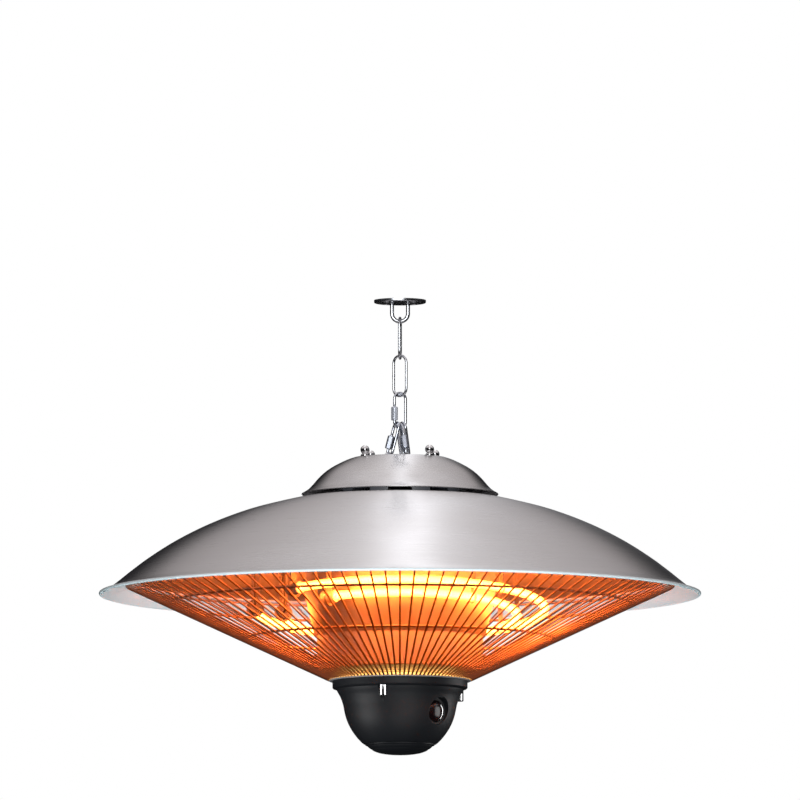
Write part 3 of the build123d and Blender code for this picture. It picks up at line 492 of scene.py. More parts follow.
M_GLAND = paint("gland_black", (0.02, 0.02, 0.02), rough=0.45, grain=1100.0, bump=0.2)
M_LEAD = paint("wire_sleeve", (0.50, 0.44, 0.34), rough=0.75, grain=2500.0, bump=0.5, var=0.12)


def quartz_material():
    """Clear quartz round a glowing coil: the wall blooms orange, and the coil shows through it."""
    t = Tree("quartz")
    c = t.coords()
    streaks = t.noise(c, 60.0, 3.0, 0.5)
    fine = t.noise(c, 900.0, 2.0, 0.5)
    t.wire(t.ramp(streaks, [(0.3, (0.90, 0.80, 0.66)), (0.7, (0.98, 0.90, 0.78))]), t.bsdf.inputs["Base Color"])
    t.wire(t.remap(fine, 0.05, 0.10), t.bsdf.inputs["Roughness"])
    t.set(IOR=1.46)
    t.wire(t.ramp(streaks, [(0.3, (1.0, 0.165, 0.020)), (0.7, (1.0, 0.180, 0.024))]), t.bsdf.inputs["Emission Color"])
    # seen directly the wall is only softly lit; as a lamp it carries the whole of the coil's light
    path = t.node("LightPath")
    seen = t.node("MapRange")
    seen.inputs["To Min"].default_value = 28.0
    seen.inputs["To Max"].default_value = 1.9
    t.wire(path.outputs["Is Camera Ray"], seen.inputs["Value"])
    t.wire(seen.outputs[0], t.bsdf.inputs["Emission Strength"])
    clear = t.node("BsdfTransparent")
    mix = t.node("MixShader")
    through = t.math("MULTIPLY", path.outputs["Is Camera Ray"], 0.42)
    t.wire(through, mix.inputs[0])
    t.wire(t.bsdf.outputs[0], mix.inputs[1])
    t.wire(clear.outputs[0], mix.inputs[2])
    t.wire(mix.outputs[0], t.out.inputs[0])
    return t.mat


def filament_material():
    t = Tree("filament_glow")
    c = t.coords()
    n = t.noise(c, 300.0, 2.0, 0.5)
    t.wire(t.ramp(n, [(0.3, (0.30, 0.22, 0.16)), (0.7, (0.36, 0.27, 0.20))]), t.bsdf.inputs["Base Color"])
    t.wire(t.remap(n, 0.5, 0.6), t.bsdf.inputs["Roughness"])
    t.wire(t.ramp(n, [(0.3, (1.0, 0.27, 0.05)), (0.7, (1.0, 0.30, 0.06))]), t.bsdf.inputs["Emission Color"])
    t.set(Emission_Strength=60.0)
    return t.mat


M_QUARTZ = quartz_material()
M_FILAMENT = filament_material()


def lens_material():
    t = Tree("lens")
    c = t.coords()
    n = t.noise(c, 120.0, 2.0, 0.5)
    t.wire(t.ramp(n, [(0.3, (0.018, 0.010, 0.012)), (0.7, (0.030, 0.013, 0.015))]), t.bsdf.inputs["Base Color"])
    t.wire(t.remap(n, 0.18, 0.24), t.bsdf.inputs["Roughness"])
    t.set(Coat_Weight=1.0, Coat_Roughness=0.17, IOR=1.55)
    return t.mat


M_LENS = lens_material()

# ------------------------------------------------------------------ camera
ALPHA = math.radians(5.15)
AIM = Vector((0.0, 0.0, (194.0 / math.cos(ALPHA) - RIM) * MM))
DIST = 24.0
cam_data = bpy.data.cameras.new("camera")
cam_data.sensor_width = 36.0
cam_data.lens = 36.0 * DIST / 0.8
cam_data.clip_start = 0.5
cam_data.clip_end = 120.0
cam = link(bpy.data.objects.new("camera", cam_data))
toward = Vector((0.0, math.cos(ALPHA), math.sin(ALPHA)))
cam.location = AIM - toward * DIST
cam.rotation_euler = toward.to_track_quat("-Z", "Y").to_euler()
scene.camera = cam

# ------------------------------------------------------------------ visible pieces
SEG = 360
look = dict(nodes.items())


def stand_in(obj, node, body, material):
    """A finer mesh takes a CAD node's place."""
    use(obj, material)
    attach(obj, body)
    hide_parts(node)
    look[node] = obj
    return obj


def arc(cx, cy, r, a0, a1, steps=8):
    """Points of a profile's rounded edge, degrees."""
    return [(cx + r * math.cos(math.radians(a0 + (a1 - a0) * k / steps)),
             cy + r * math.sin(math.radians(a0 + (a1 - a0) * k / steps))) for k in range(steps + 1)]


def heading(az):
    return Vector((math.cos(math.radians(az)), math.sin(math.radians(az)), 0.0))


# ---- shade: spun sheet with a folded lip
shade_line = [(80.0, 97.45), (88.0, 97.0), (97.0, 96.1), (107.0, 94.5), (130.4, 89.0), (150.9, 83.5), (168.4, 77.6),
              (183.6, 71.7), (197.2, 65.8), (209.4, 59.9), (220.6, 54.0), (230.9, 48.1), (240.5, 42.1),
              (249.4, 36.2), (257.8, 30.3), (265.7, 24.3), (273.4, 18.3), (281.1, 12.0), (287.6, 6.9)]


def lip(r):
    return 1.45 + (298.3 - r) * 0.464


upper_line = smooth_line(shade_line, 5)
under_line = inset(upper_line, 1.0)
under_line[0] = (80.0, 96.5)
joint_in = [(288.6, 6.25), (289.4, 5.75), (290.2, lip(290.2))]
profile = ([(30.0, 97.5), (60.0, 97.5)] + upper_line + joint_in + [(294.0, lip(294.0)), (297.9, lip(297.9)),
           (298.25, lip(298.3) - 0.15), (298.3, lip(298.3) - 0.5), (298.2, lip(298.3) - 1.0), (297.8, lip(297.8) - 1.1),
           (289.6, lip(289.6) - 1.1)] + under_line[::-1] + [(60.0, 96.5), (30.0, 96.5)])
stand_in(lathe("shade_spun", profile, SEG, sharp=30.0), "shade", "heater", M_SHADE)

# ---- cap: spun sheet, its lower edge turned to a small hem
cap_line = [(46.5, 136.5), (54.2, 133.8), (65.0, 128.5), (72.7, 123.7), (78.6, 118.8),
            (83.3, 113.9), (87.6, 108.9), (92.2, 104.3), (97.3, 101.1)]
cap_out = smooth_line(cap_line, 6)
cap_in = inset(cap_out, 1.0)
cap_in[0] = (46.2, 135.5)
hem = [(97.8, 100.85), (98.25, 100.6), (98.45, 100.25), (98.35, 99.9), (98.0, 99.7), (97.5, 99.73), (97.0, 100.0)]
cap_profile = [(30.0, 136.35), (30.3, 136.5), (44.5, 136.5), (45.6, 136.49)] + cap_out + hem + cap_in[::-1] + [
    (44.5, 135.5), (30.3, 135.5), (30.0, 135.65)]
stand_in(lathe("cap_spun", cap_profile, 288, sharp=50.0), "cap", "heater", M_CAP)

# ---- rim ring with its rolled bead
def under_lip(r):
    return lip(r) - 1.16


bead = arc(299.75, 0.55, 1.25, 150, -165, 18)
rim_profile = ([(277.6, under_lip(277.6)), (288.0, under_lip(288.0)), (298.5, under_lip(298.6))] + bead
               + [(298.4, under_lip(298.6) - 1.25), (288.0, under_lip(288.0) - 1.4), (277.4, under_lip(277.3) - 1.42),
                  (277.0, under_lip(277.2) - 1.3), (274.8, 11.15), (274.2, 11.0), (262.2, 11.0), (262.0, 11.2),
                  (262.0, 12.0), (262.2, 12.2), (274.8, 12.2), (275.2, 12.1)])
stand_in(lathe("rim_ring_rolled", rim_profile, SEG, sharp=40.0), "rim_ring", "heater", M_RIM)

# ---- reflector and drum: spun aluminium sheet with softened bends
refl = [(95.9, 55.8), (95.9, 46.2), (96.05, 45.45), (96.7, 45.05), (258.0, 13.76), (261.4, 12.3), (262.2, 12.2),
        (274.2, 12.2), (274.4, 12.4), (274.4, 13.0), (274.2, 13.2), (262.3, 13.2), (261.6, 13.35), (258.2, 14.85),
        (97.5, 46.1), (96.95, 46.5), (96.9, 47.2), (96.9, 55.8), (96.7, 56.0), (96.1, 56.0)]
stand_in(lathe("reflector_spun", refl, SEG, sharp=40.0), "reflector", "heater", M_REFLECT)

drum = ([(80.0, 94.5)] + arc(94.3, 93.3, 1.2, 90, 0, 5) + arc(93.1, 0.3, 2.4, 0, -13.3, 4)
        + [(86.6, -37.7), (86.45, -38.15), (86.2, -38.7)]
        + [(84.4, -41.9), (84.1, -42.15), (83.7, -42.1), (83.4, -41.8), (85.3, -38.2), (85.4, -37.6), (94.4, 0.0),
           (94.5, 0.6), (94.5, 92.9), (94.2, 93.3), (80.0, 93.3)])
stand_in(lathe("drum_upper_spun", drum, 288, sharp=35.0), "drum_upper", "heater", M_DRUM)
foot = ([(83.0, -30.2), (83.0, -75.4)] + arc(81.9, -75.45, 1.1, 0, -72, 5)
        + [(71.6, -79.8), (70.9, -79.0), (81.4, -75.55), (81.9, -75.1), (82.0, -74.4), (82.0, -30.2), (82.2, -30.0),
           (82.8, -30.0)])
drum_wall = stand_in(lathe("drum_lower_spun", foot, 288, sharp=35.0), "drum_lower", "heater", M_DRUM)
collar = [(71.6, -79.82), (70.5, -80.2), (70.15, -80.6), (70.0, -81.2), (70.0, -85.4), (69.8, -85.85), (69.3, -86.0),
          (12.4, -86.0), (12.4, -84.8), (68.6, -84.8), (69.0, -84.5), (69.0, -80.3), (69.3, -79.6), (70.9, -79.02)]
drum_collar = stand_in(lathe("drum_foot_collar", collar, 288, sharp=35.0), "drum_lower", "heater", M_DRUM)


# ---- chain links: bent wire, closed by a butt weld in one long side
def link_plane(az, h):
    """Origin, width direction and upward direction of a hanging link."""
    return P(0, 0, h), heading(az), Vector((0, 0, 1))


def oval(half_w, length, steps=20, side=14):
    """Closed centre line of an oval link in its own plane, mm, starting in the middle of the left side."""
    s = length / 2 - half_w
    pts = [(-half_w, -s * k / side) for k in range(side)]
    pts += [(half_w * math.cos(math.radians(180 + 180 * k / steps)),
             -s + half_w * math.sin(math.radians(180 + 180 * k / steps))) for k in range(steps)]
    pts += [(half_w, -s + 2 * s * k / (2 * side)) for k in range(2 * side)]
    pts += [(half_w * math.cos(math.radians(180 * k / steps)),
             s + half_w * math.sin(math.radians(180 * k / steps))) for k in range(steps)]
    pts += [(-half_w, s - s * k / side) for k in range(side)]
    return pts


def on_plane(plane, pts):
    o, x, y = plane
    return [o + x * (a * MM) + y * (b * MM) for a, b in pts]


def tube_object(name, pieces, sharp=35.0):
    v, f = joined(pieces)
    return mesh_object(name, v, f, sharp=sharp)


LINK_HW, LINK_LEN, LINK_R = 7.7, 40.6, 1.3
QL_HW, QL_LEN, QL_R = 6.1, 35.2, 1.4
PLAY = 0.3
hook_bar = RIM - 3.0 - 18.45
upper_top = hook_bar + 2.0 + LINK_R + PLAY
upper_mid = upper_top - LINK_LEN / 2
lower_top = upper_top - LINK_LEN + 2 * LINK_R + PLAY
lower_mid = lower_top - LINK_LEN / 2
master_top = lower_top - LINK_LEN + LINK_R + QL_R + PLAY
master_mid = master_top - QL_LEN / 2
master_low = master_top - QL_LEN


def chain_link(name, plane, node, body):
    n = 88

    def swell(t):
        # the weld: a slight upset with a low ridge on each side of the joint
        d = min(t, 1 - t) * n
        return 1.0 + 0.10 * math.exp(-(d / 0.8) ** 2)

    pts = on_plane(plane, oval(LINK_HW, LINK_LEN))
    v, f = tube(pts, LINK_R * MM, 16, closed=True, vary=swell)
    stand_in(mesh_object(name, v, f), node, body, M_ZINC)


chain_link("chain_link_upper_bent", link_plane(85.0, upper_mid), "chain_link_upper", "upper_link")
chain_link("chain_link_lower_bent", link_plane(-35.0, lower_mid), "chain_link_lower", "lower_link")

# ---- ceiling hook: a U of wire welded under the plate, with a fillet of weld round each leg
hk = [(-8.0, RIM - 3.0 + 0.0)] + [(-8.0, hook_bar + 8.0 + (RIM - 3.0 - hook_bar - 8.0) * (1 - k / 6)) for k in range(1, 7)]
hk += [(8.0 * math.cos(math.radians(180 + 180 * k / 24)), hook_bar + 8.0 + 8.0 * math.sin(math.radians(180 + 180 * k / 24)))
       for k in range(1, 25)]
hk += [(8.0, hook_bar + 8.0 + (RIM - 3.0 - hook_bar - 8.0) * k / 6) for k in range(1, 7)]
hook_pts = [P(x, 0.0, z) for x, z in hk]
hook_parts = [tube(hook_pts, 2.0 * MM, 18, ends=False)]
for x in (-8.0, 8.0):
    hook_parts.append(ball(P(x, 0, RIM - 3.15), 3.0 * MM, 3.0 * MM, 0.75 * MM, rings=8, sides=20))
stand_in(tube_object("ceiling_hook_bent", hook_parts), "ceiling_hook", "ceiling_mount", M_ZINC)

# ---- quick links and their sleeve nuts
NUT_LOW, NUT_LEN = -10.0, 13.5
GAP_LOW, GAP_HIGH = NUT_LOW + 3.0, NUT_LOW + 9.3


def quick_link(name, plane, node, body):
    """Open link of round wire: both ends beside the gap carry a thread."""
    s = QL_LEN / 2 - QL_HW
    pts, radii = [], []

    def add(x, y, r=1.0):
        pts.append((x, y))
        radii.append(r)

    # lower end: rounded tip, short thread, then the plain wire
    add(-QL_HW, GAP_LOW, 0.72)
    add(-QL_HW, GAP_LOW - 0.25, 0.90)
    steps = int(2.9 / 0.14)
    for k in range(steps):
        add(-QL_HW, GAP_LOW - 0.4 - 0.14 * k, 0.945 + 0.045 * math.cos(2 * math.pi * 0.14 * k / 0.56))
    y0 = GAP_LOW - 0.4 - 0.14 * steps
    for k in range(1, 5):
        add(-QL_HW, y0 + (-s - y0) * k / 5)
    for k in range(21):
        a = math.radians(180 + 180 * k / 20)
        add(QL_HW * math.cos(a), -s + QL_HW * math.sin(a))
    for k in range(1, 16):
        add(QL_HW, -s + 2 * s * k / 16)
    for k in range(21):
        a = math.radians(180 * k / 20)
        add(QL_HW * math.cos(a), s + QL_HW * math.sin(a))
    y1 = GAP_HIGH + 0.4 + 0.14 * 38
    for k in range(1, 5):
        add(-QL_HW, s + (y1 - s) * k / 5)
    for k in range(39):
        add(-QL_HW, y1 - 0.14 * k, 0.945 + 0.045 * math.cos(2 * math.pi * 0.14 * k / 0.56))
    add(-QL_HW, GAP_HIGH + 0.25, 0.90)
    add(-QL_HW, GAP_HIGH, 0.72)
    world_pts = on_plane(plane, pts)
    n = len(world_pts)
    v, f = tube(world_pts, QL_R * MM, 16, vary=lambda t: radii[int(round(t * (n - 1)))])
    stand_in(mesh_object(name, v, f, sharp=60.0), node, body, M_QUICK)


def sleeve_nut(name, plane, node, body):
    """Long hexagon nut: the ends turned to a bevel, the bore chamfered."""
    o, x, y = plane
    z = x.cross(y)
    c = o - x * (QL_HW * MM)
    af = 3.25
    verts, faces = [], []
    per = 8                      # points along each flat

    def hexagon(h, grow, round_to=None):
        row = []
        for k in range(6 * per):
            side, t = divmod(k, per)
            a0 = math.radians(60 * side)
            a1 = math.radians(60 * side + 60)
            rr = af / math.cos(math.radians(30))
            px = rr * (math.cos(a0) * (1 - t / per) + math.cos(a1) * t / per)
            py = rr * (math.sin(a0) * (1 - t / per) + math.sin(a1) * t / per)
            length = math.hypot(px, py)
            lim = min(length, round_to) if round_to else length
            # corners a little rounded
            lim = min(lim, rr - 0.09)
            px, py = px / length * (lim + grow), py / length * (lim + grow)
            row.append(len(verts))
            verts.append(c + x * (px * MM) + z * (py * MM) + y * (h * MM))
        return row

    def round_row(h, r):
        row = []
        for k in range(6 * per):
            side, t = divmod(k, per)
            a0 = math.radians(60 * side)
            a1 = math.radians(60 * side + 60)
            px = math.cos(a0) * (1 - t / per) + math.cos(a1) * t / per
            py = math.sin(a0) * (1 - t / per) + math.sin(a1) * t / per
            length = math.hypot(px, py)
            row.append(len(verts))
            verts.append(c + x * (px / length * r * MM) + z * (py / length * r * MM) + y * (h * MM))
        return row

    lo, hi = NUT_LOW, NUT_LOW + NUT_LEN
    rows = [round_row(lo + 0.25, 1.5), round_row(lo, 1.75), round_row(lo, 3.0), hexagon(lo + 0.16, 0, 3.2),
            hexagon(lo + 0.55, 0, 3.62), hexagon(lo + 0.8, 0), hexagon(lo + 3.0, 0)]
    for k in range(1, 8):
        rows.append(hexagon(lo + 3.0 + (NUT_LEN - 6.0) * k / 8, 0))
    rows += [hexagon(hi - 3.0, 0), hexagon(hi - 1.15, 0), hexagon(hi - 0.8, 0, 3.42), hexagon(hi - 0.25, 0, 2.95),
             round_row(hi, 2.7), round_row(hi, 1.75), round_row(hi - 0.25, 1.5)]
    n = 6 * per
    for i in range(len(rows)):
        a, b = rows[i], rows[(i + 1) % len(rows)]
        for k in range(n):
            m = (k + 1) % n
            faces.append([a[k], a[m], b[m], b[k]])
    # leg nuts take the darker copy of the nut steel: painted shade
    stand_in(mesh_object(name, verts, faces, sharp=28.0), node, body, M_NUT if body == "master_nut" else M_SHADED_LEG_NUT)


master_plane = link_plane(25.0, master_mid)
quick_link("master_link_bent", master_plane, "master_link", "master")
sleeve_nut("master_sleeve", master_plane, "master_link_nut", "master_nut")

# the three legs under the master link, spread like a tripod
mu, mw = heading(25.0), heading(115.0)
up_axis = Vector((0, 0, 1))
seat = QL_HW - 2 * QL_R - PLAY
bow_h = master_low + QL_HW
side_seat = seat - 0.15
lean = math.radians(75)


def leg_points(s_top, h_top, s_foot, w_foot):
    flat = math.hypot(s_foot - s_top, w_foot)
    drop = math.sqrt(QL_LEN ** 2 - flat ** 2)
    return (mu * s_top + up_axis * (h_top - RIM), mu * s_foot + mw * w_foot + up_axis * (h_top - drop - RIM))


def leg_frame(top, foot, flip):
    up = (top - foot).normalized()
    across = (mw - up * mw.dot(up)).normalized() * (-1 if flip else 1)
    return ((top + foot) * (0.5 * MM), across, up)


top_l, foot_l = leg_points(-side_seat * math.sin(lean), bow_h - side_seat * math.cos(lean), -10.0, 5.0)
top_r, foot_r = leg_points(side_seat * math.sin(lean), bow_h - side_seat * math.cos(lean), 10.0, 5.0)
hooked = 2 * QL_R + PLAY
pull = (up_axis * math.sqrt((QL_LEN - hooked) ** 2 - 100.0) + mw * 10.0).normalized()
foot_c = up_axis * (master_low - RIM) - pull * (QL_LEN - hooked)
top_c = foot_c + pull * QL_LEN
legs = {"left": leg_frame(top_l, foot_l, True), "centre": leg_frame(top_c, foot_c, False),
        "right": leg_frame(top_r, foot_r, True)}
for side, plane in legs.items():
    quick_link("leg_link_%s_bent" % side, plane, "leg_link_%s" % side, "heater")
    sleeve_nut("leg_sleeve_%s" % side, plane, "leg_link_%s_nut" % side, "%s_leg_nut" % side)

# ---- ball nuts on the cap, one piece each with a flared foot, a waist and a ball
turn_c, turn_s = math.cos(math.radians(-5.5)), math.sin(math.radians(-5.5))
stud_xy = [(x * turn_c - y * turn_s, x * turn_s + y * turn_c)
           for x, y in ((32.4, 28.6), (-32.4, 28.6), (-32.4, -28.6), (32.4, -28.6))]
ball_mid, ball_r = 142.6, 4.5
nut_profile = ([(2.05, 137.45), (2.2, 137.3), (3.6, 137.3), (3.8, 137.45), (3.78, 137.75), (3.55, 138.35),
                (3.3, 138.62), (3.02, 138.8), (2.9, 139.0), (2.86, 139.2)]
               + arc(0.0, ball_mid, ball_r, -49, 90, 26)[0:] + [])
nut_parts = []
for x, y in stud_xy:
    rows = []
    verts, faces = [], []
    for r, h in nut_profile:
        if r < 1e-3:
            rows.append([len(verts)] * 40)
            verts.append(P(x, y, h))
            continue
        rows.append(list(range(len(verts), len(verts) + 40)))
        verts.extend(P(x + r * math.cos(2 * math.pi * k / 40), y + r * math.sin(2 * math.pi * k / 40), h)
                     for k in range(40))
    # blind bore for the stud
    rows.insert(0, list(range(len(verts), len(verts) + 40)))
    verts.extend(P(x + 2.05 * math.cos(2 * math.pi * k / 40), y + 2.05 * math.sin(2 * math.pi * k / 40), 145.5)
                 for k in range(40))
    verts.append(P(x, y, 145.7))
    top = len(verts) - 1
    for k in range(40):
        faces.append([rows[0][(k + 1) % 40], rows[0][k], top])
    for a, b in zip(rows, rows[1:]):
        for k in range(40):
            m = (k + 1) % 40
            face = []
            for q in (a[k], a[m], b[m], b[k]):
                if q not in face:
                    face.append(q)
            faces.append(face)
    nut_parts.append((verts, faces))
stand_in(tube_object("cap_ball_nuts", nut_parts, sharp=50.0), "cap_nuts", "heater", M_BALL)

# ---- guard: straight wires spot-welded to four rings
G_LOW, G_SLOPE, G_COUNT, G_R = -119.3, 0.4665, 112, 1.0
g_run = Vector((1.0, G_SLOPE)).normalized()


def guard_h(r):
    return G_LOW + G_SLOPE * r


def on_guard(r, wire):
    off = G_R + wire
    return r - g_run.y * off, guard_h(r) + g_run.x * off


wires, beads = [], []
rings = {"guard_top_ring": (271.3, 1.25), "guard_mid_a": (231.5, 1.25), "guard_mid_b": (156.0, 1.25),
         "guard_bottom_ring": (74.6, 1.25)}
for i in range(G_COUNT):
    az = -90 + 360.0 * i / G_COUNT
    d = heading(az)
    wob = [random.uniform(-0.12, 0.12) for _ in range(3)]
    side_dir = Vector((-d.y, d.x, 0))
    stations = (72.2, 72.9, 100.0, 140.0, 180.0, 220.0, 250.0, 273.5, 274.2)
    pts = []
    for r in stations:
        t = (r - 72.2) / 202.0
        sway = (wob[0] * math.sin(math.pi * t) + wob[1] * math.sin(2 * math.pi * t)) * MM
        pts.append(P(d.x * r, d.y * r, guard_h(r)) + side_dir * sway)
    wires.append(tube(pts, G_R * MM, 12))
    for key, (r, w) in rings.items():
        # the weld lies where wire and ring touch
        rr = r - g_run.y * G_R
        hh = guard_h(r) + g_run.x * G_R
        beads.append(ball(P(d.x * rr, d.y * rr, hh), 0.55 * MM, 0.95 * MM, 1.35 * MM,
                          x_dir=Vector((d.x * -g_run.y, d.y * -g_run.y, g_run.x)),
                          z_dir=Vector((d.x * g_run.x, d.y * g_run.x, g_run.y)), rings=5, sides=8))
stand_in(tube_object("guard_wires_drawn", wires + beads), "guard_wires", "heater", M_GLOW_TINTED_CHROME)


def guard_ring(name, r, w):
    cr, ch = on_guard(r, w)
    return lathe(name, arc(cr, ch, w, 0, 345, 23), SEG, sharp=60.0)


stand_in(guard_ring("guard_ring_top", 271.3, 1.25), "guard_top_ring", "heater", M_GLOW_TINTED_CHROME)
stand_in(guard_ring("guard_ring_bottom", 74.6, 1.25), "guard_bottom_ring", "heater", M_RING)
mid_a = guard_ring("guard_rings_middle", 231.5, 1.25)
mid_b = guard_ring("guard_ring_lower_middle", 156.0, 1.25)
stand_in(mid_a, "guard_mid_rings", "heater", M_GLOW_TINTED_CHROME)
stand_in(mid_b, "guard_mid_rings", "heater", M_GLOW_TINTED_CHROME)
mid_rings = [mid_a, mid_b]

# ---- ring lamps: quartz tubes drawn in and sealed at their ends, a coiled filament inside
LTILT = math.radians(7.0)


def lamp_frame(h):
    """Centre and directions of a lamp ring's leaning plane."""
    z = Vector((0, math.sin(LTILT), math.cos(LTILT)))
    x = Vector((1, 0, 0))
    return P(0, 0, h), x, z.cross(x), z


def ring_point(fr, r, deg):
    o, x, y, z = fr
    a = math.radians(deg)
    return o + (x * math.cos(a) + y * math.sin(a)) * (r * MM)


lamps = {"outer": (lamp_frame(-14.6), 144.5, -135.5, 315.5), "inner": (lamp_frame(-21.6), 117.0, -125.5, 310.5)}
for key, (fr, r, start, span) in lamps.items():
    o, lx, ly, lz = fr
    sides = 20
    verts, faces = [], []
    length = math.radians(span) * r
    steps = int(span / 1.5)
    rows = []

    def tube_row(s, radius):
        deg = start + math.degrees(s / r)
        c = ring_point(fr, r, deg)
        a = math.radians(deg)
        out = lx * math.cos(a) + ly * math.sin(a)
        row = []
        for k in range(sides):
            b = 2 * math.pi * k / sides
            row.append(len(verts))
            verts.append(c + (out * math.cos(b) + lz * math.sin(b)) * (radius * MM))
        return row

    # outer wall, drawn in a little next to each seal
    outer_s = [(0.0, 3.7), (1.2, 4.0), (2.6, 4.2)] + [(length * k / steps, 4.2) for k in range(1, steps)] + [
        (length - 2.6, 4.2), (length - 1.2, 4.0), (length, 3.7)]
    outer_s.sort()
    for s, rad in outer_s:
        rows.append(tube_row(s, rad))
    for s, rad in [(length, 3.2)] + [(length * (1 - k / steps), 3.2) for k in range(1, steps)] + [(0.0, 3.2)]:
        rows.append(tube_row(s, rad))
    for i in range(len(rows)):
        a, b = rows[i], rows[(i + 1) % len(rows)]
        for k in range(sides):
            m = (k + 1) % sides
            faces.append([a[k], a[m], b[m], b[k]])
    stand_in(mesh_object("lamp_tube_%s_quartz" % key, verts, faces), "lamp_tube_" + key, "heater", M_QUARTZ)
    # coil: wire wound on a 1.6 mm radius, with straight tails into the end caps
    turns = int(length / 3.6)
    per = 14
    coil = []
    for k in range(turns * per + 1):
        s = 4.0 + (length - 8.0) * k / (turns * per)
        deg = start + math.degrees(s / r)
        a = math.radians(deg)
        out = lx * math.cos(a) + ly * math.sin(a)
        b = 2 * math.pi * k / per
        coil.append(ring_point(fr, r, deg) + (out * math.cos(b) + lz * math.sin(b)) * (1.6 * MM))
    coil = [ring_point(fr, r, start)] + coil + [ring_point(fr, r, start + span)]
    v, f = tube(coil, 0.5 * MM, 8)
    stand_in(mesh_object("filament_%s_coil" % key, v, f), "filament_" + key, "heater", M_FILAMENT)

# ---- bowl's bottom cap: stepped edge and a shallow turned groove
bottom = ([(0.0, -161.0), (6.0, -160.92), (12.0, -160.6), (16.6, -160.0), (20.8, -159.2), (23.6, -158.3),
           (25.6, -157.5), (27.3, -156.6), (28.0, -156.05), (28.25, -155.7), (28.5, -155.5), (29.3, -155.2), (29.8, -154.95),
           (30.9, -154.1), (31.9, -153.2), (32.2, -152.85), (32.35, -152.5), (32.65, -152.3), (33.6, -152.1),
           (34.2, -151.8), (34.7, -151.4), (34.8, -151.0), (34.8, -150.6), (34.5, -150.3), (0.0, -150.3)])
stand_in(lathe("bowl_bottom", bottom, 192, closed=False, sharp=28.0), "housing_bottom_cap", "heater", M_BOWL)

# ---- screws in the notches of the bowl's neck: round bright heads with a cross recess
screw_az = [-106.0, 14.0, 134.0]
screw_parts = []
for az in screw_az:
    d = heading(az)
    x0, y0 = d.x * 61.3, d.y * 61.3
    prof = [(0.0, -83.9), (1.7, -83.9), (2.0, -84.2), (2.0, -95.0), (2.1, -95.2), (3.85, -95.2), (4.0, -95.35),
            (4.0, -105.5), (3.92, -105.9), (3.7, -106.25), (3.35, -106.44), (2.8, -106.5), (1.35, -106.5),
            (1.0, -105.2), (0.0, -104.9)]
    n = 36
    verts, faces, rows = [], [], []
    for r, h in prof:
        if r < 1e-6:
            rows.append([len(verts)] * n)
            verts.append(P(x0, y0, h))
        else:
            rows.append(list(range(len(verts), len(verts) + n)))
            for k in range(n):
                a = 2 * math.pi * k / n
                rr = r
                if r in (1.35, 1.0):          # the recess is a rounded cross
                    rr = r * (0.62 + 0.62 * abs(math.cos(2 * a)) ** 2)
                verts.append(P(x0 + rr * math.cos(a), y0 + rr * math.sin(a), h))
    for a, b in zip(rows, rows[1:]):
        for k in range(n):
            m = (k + 1) % n
            face = []
            for q in (a[k], a[m], b[m], b[k]):
                if q not in face:
                    face.append(q)
            if len(face) > 2:
                faces.append(face)
    screw_parts.append((verts, faces))
stand_in(tube_object("bowl_screws", screw_parts, sharp=40.0), "housing_screws", "heater", M_SCREW)

# ---- receiver window: domed lens in a stepped bezel
lens_dir = heading(-43.8)
lens_side = Vector((-lens_dir.y, lens_dir.x, 0))


def lens_axis(r):
    return (P(lens_dir.x * r, lens_dir.y * r, -119.6), lens_side, Vector((0, 0, 1)), lens_dir)


dome = ([(10.9 * math.sin(math.radians(a)) , 4.4 * math.cos(math.radians(a))) for a in (0, 8, 16, 24, 32, 40, 48, 56, 64, 71, 78, 84, 90)]
        + [(10.9, -0.3), (6.9, -0.35), (6.6, -0.6), (6.6, -4.8), (0.0, -4.8)])
stand_in(lathe("receiver_window", dome, 96, closed=False, sharp=28.0, axis=lens_axis(48.05)), "receiver_lens", "heater",
         M_LENS)
bez = [(6.8, 0.0), (13.1, 0.0), (13.3, 0.2), (13.3, 1.9), (13.1, 2.2), (12.5, 2.25), (12.1, 2.05), (11.8, 2.05), (11.6, 2.2),
       (11.3, 2.15), (11.1, 1.9), (11.1, 0.75), (11.0, 0.7), (6.9, 0.7), (6.8, 0.6)]
stand_in(lathe("receiver_bezel", bez, 96, sharp=28.0, axis=lens_axis(47.05)), "lens_bezel", "heater", M_BEZEL)


# ------------------------------------------------------------------ materials on the carried-over pieces
for n in ("ceiling_plate", "hanger_eyes"):
    dress(n, M_ZINC)
for n in ("eye_nuts", "hanger_plate", "cap_studs", "stud_nuts", "stud_spacers", "mounting_plate", "carrier_plate",
          "column_tube", "column_nuts"):
    dress(n, M_GALV)
for n in ("cable_gland", "gland_locknut"):
    dress(n, M_GLAND)
for n in ("cap_washers", "clip_screws"):
    dress(n, M_BALL)
dress("neck_ring", M_NECK)
dress("lamp_end_caps", M_CERAMIC)
dress("thermal_cutout", M_CERAMIC)
for n in ("lamp_holders", "tube_supports", "guard_clips"):
    dress(n, M_HOLDER)
for n in ("lamp_leads", "internal_wires"):
    dress(n, M_LEAD)
dress("guard_brackets", M_BRACKET)
dress("base_disc", M_DISC)
dress("housing", M_BOWL)
dress("control_board", M_BOARD)
dress("power_relays", M_RELAY)
dress("transformer", M_IRON)
dress("terminal_block", M_TERMINAL)

# ------------------------------------------------------------------ floor and light
floor_me = bpy.data.meshes.new("floor")
floor_me.from_pydata([(-5, -5, -1.45), (5, -5, -1.45), (5, 5, -1.45), (-5, 5, -1.45)], [], [(0, 1, 2, 3)])
floor = link(bpy.data.objects.new("floor", floor_me))
floor_mat = paint("floor_pale", (0.86, 0.86, 0.86), rough=0.6, grain=30.0, bump=0.05, var=0.01)
use(floor, floor_mat)
floor.visible_diffuse = False
floor.visible_glossy = False


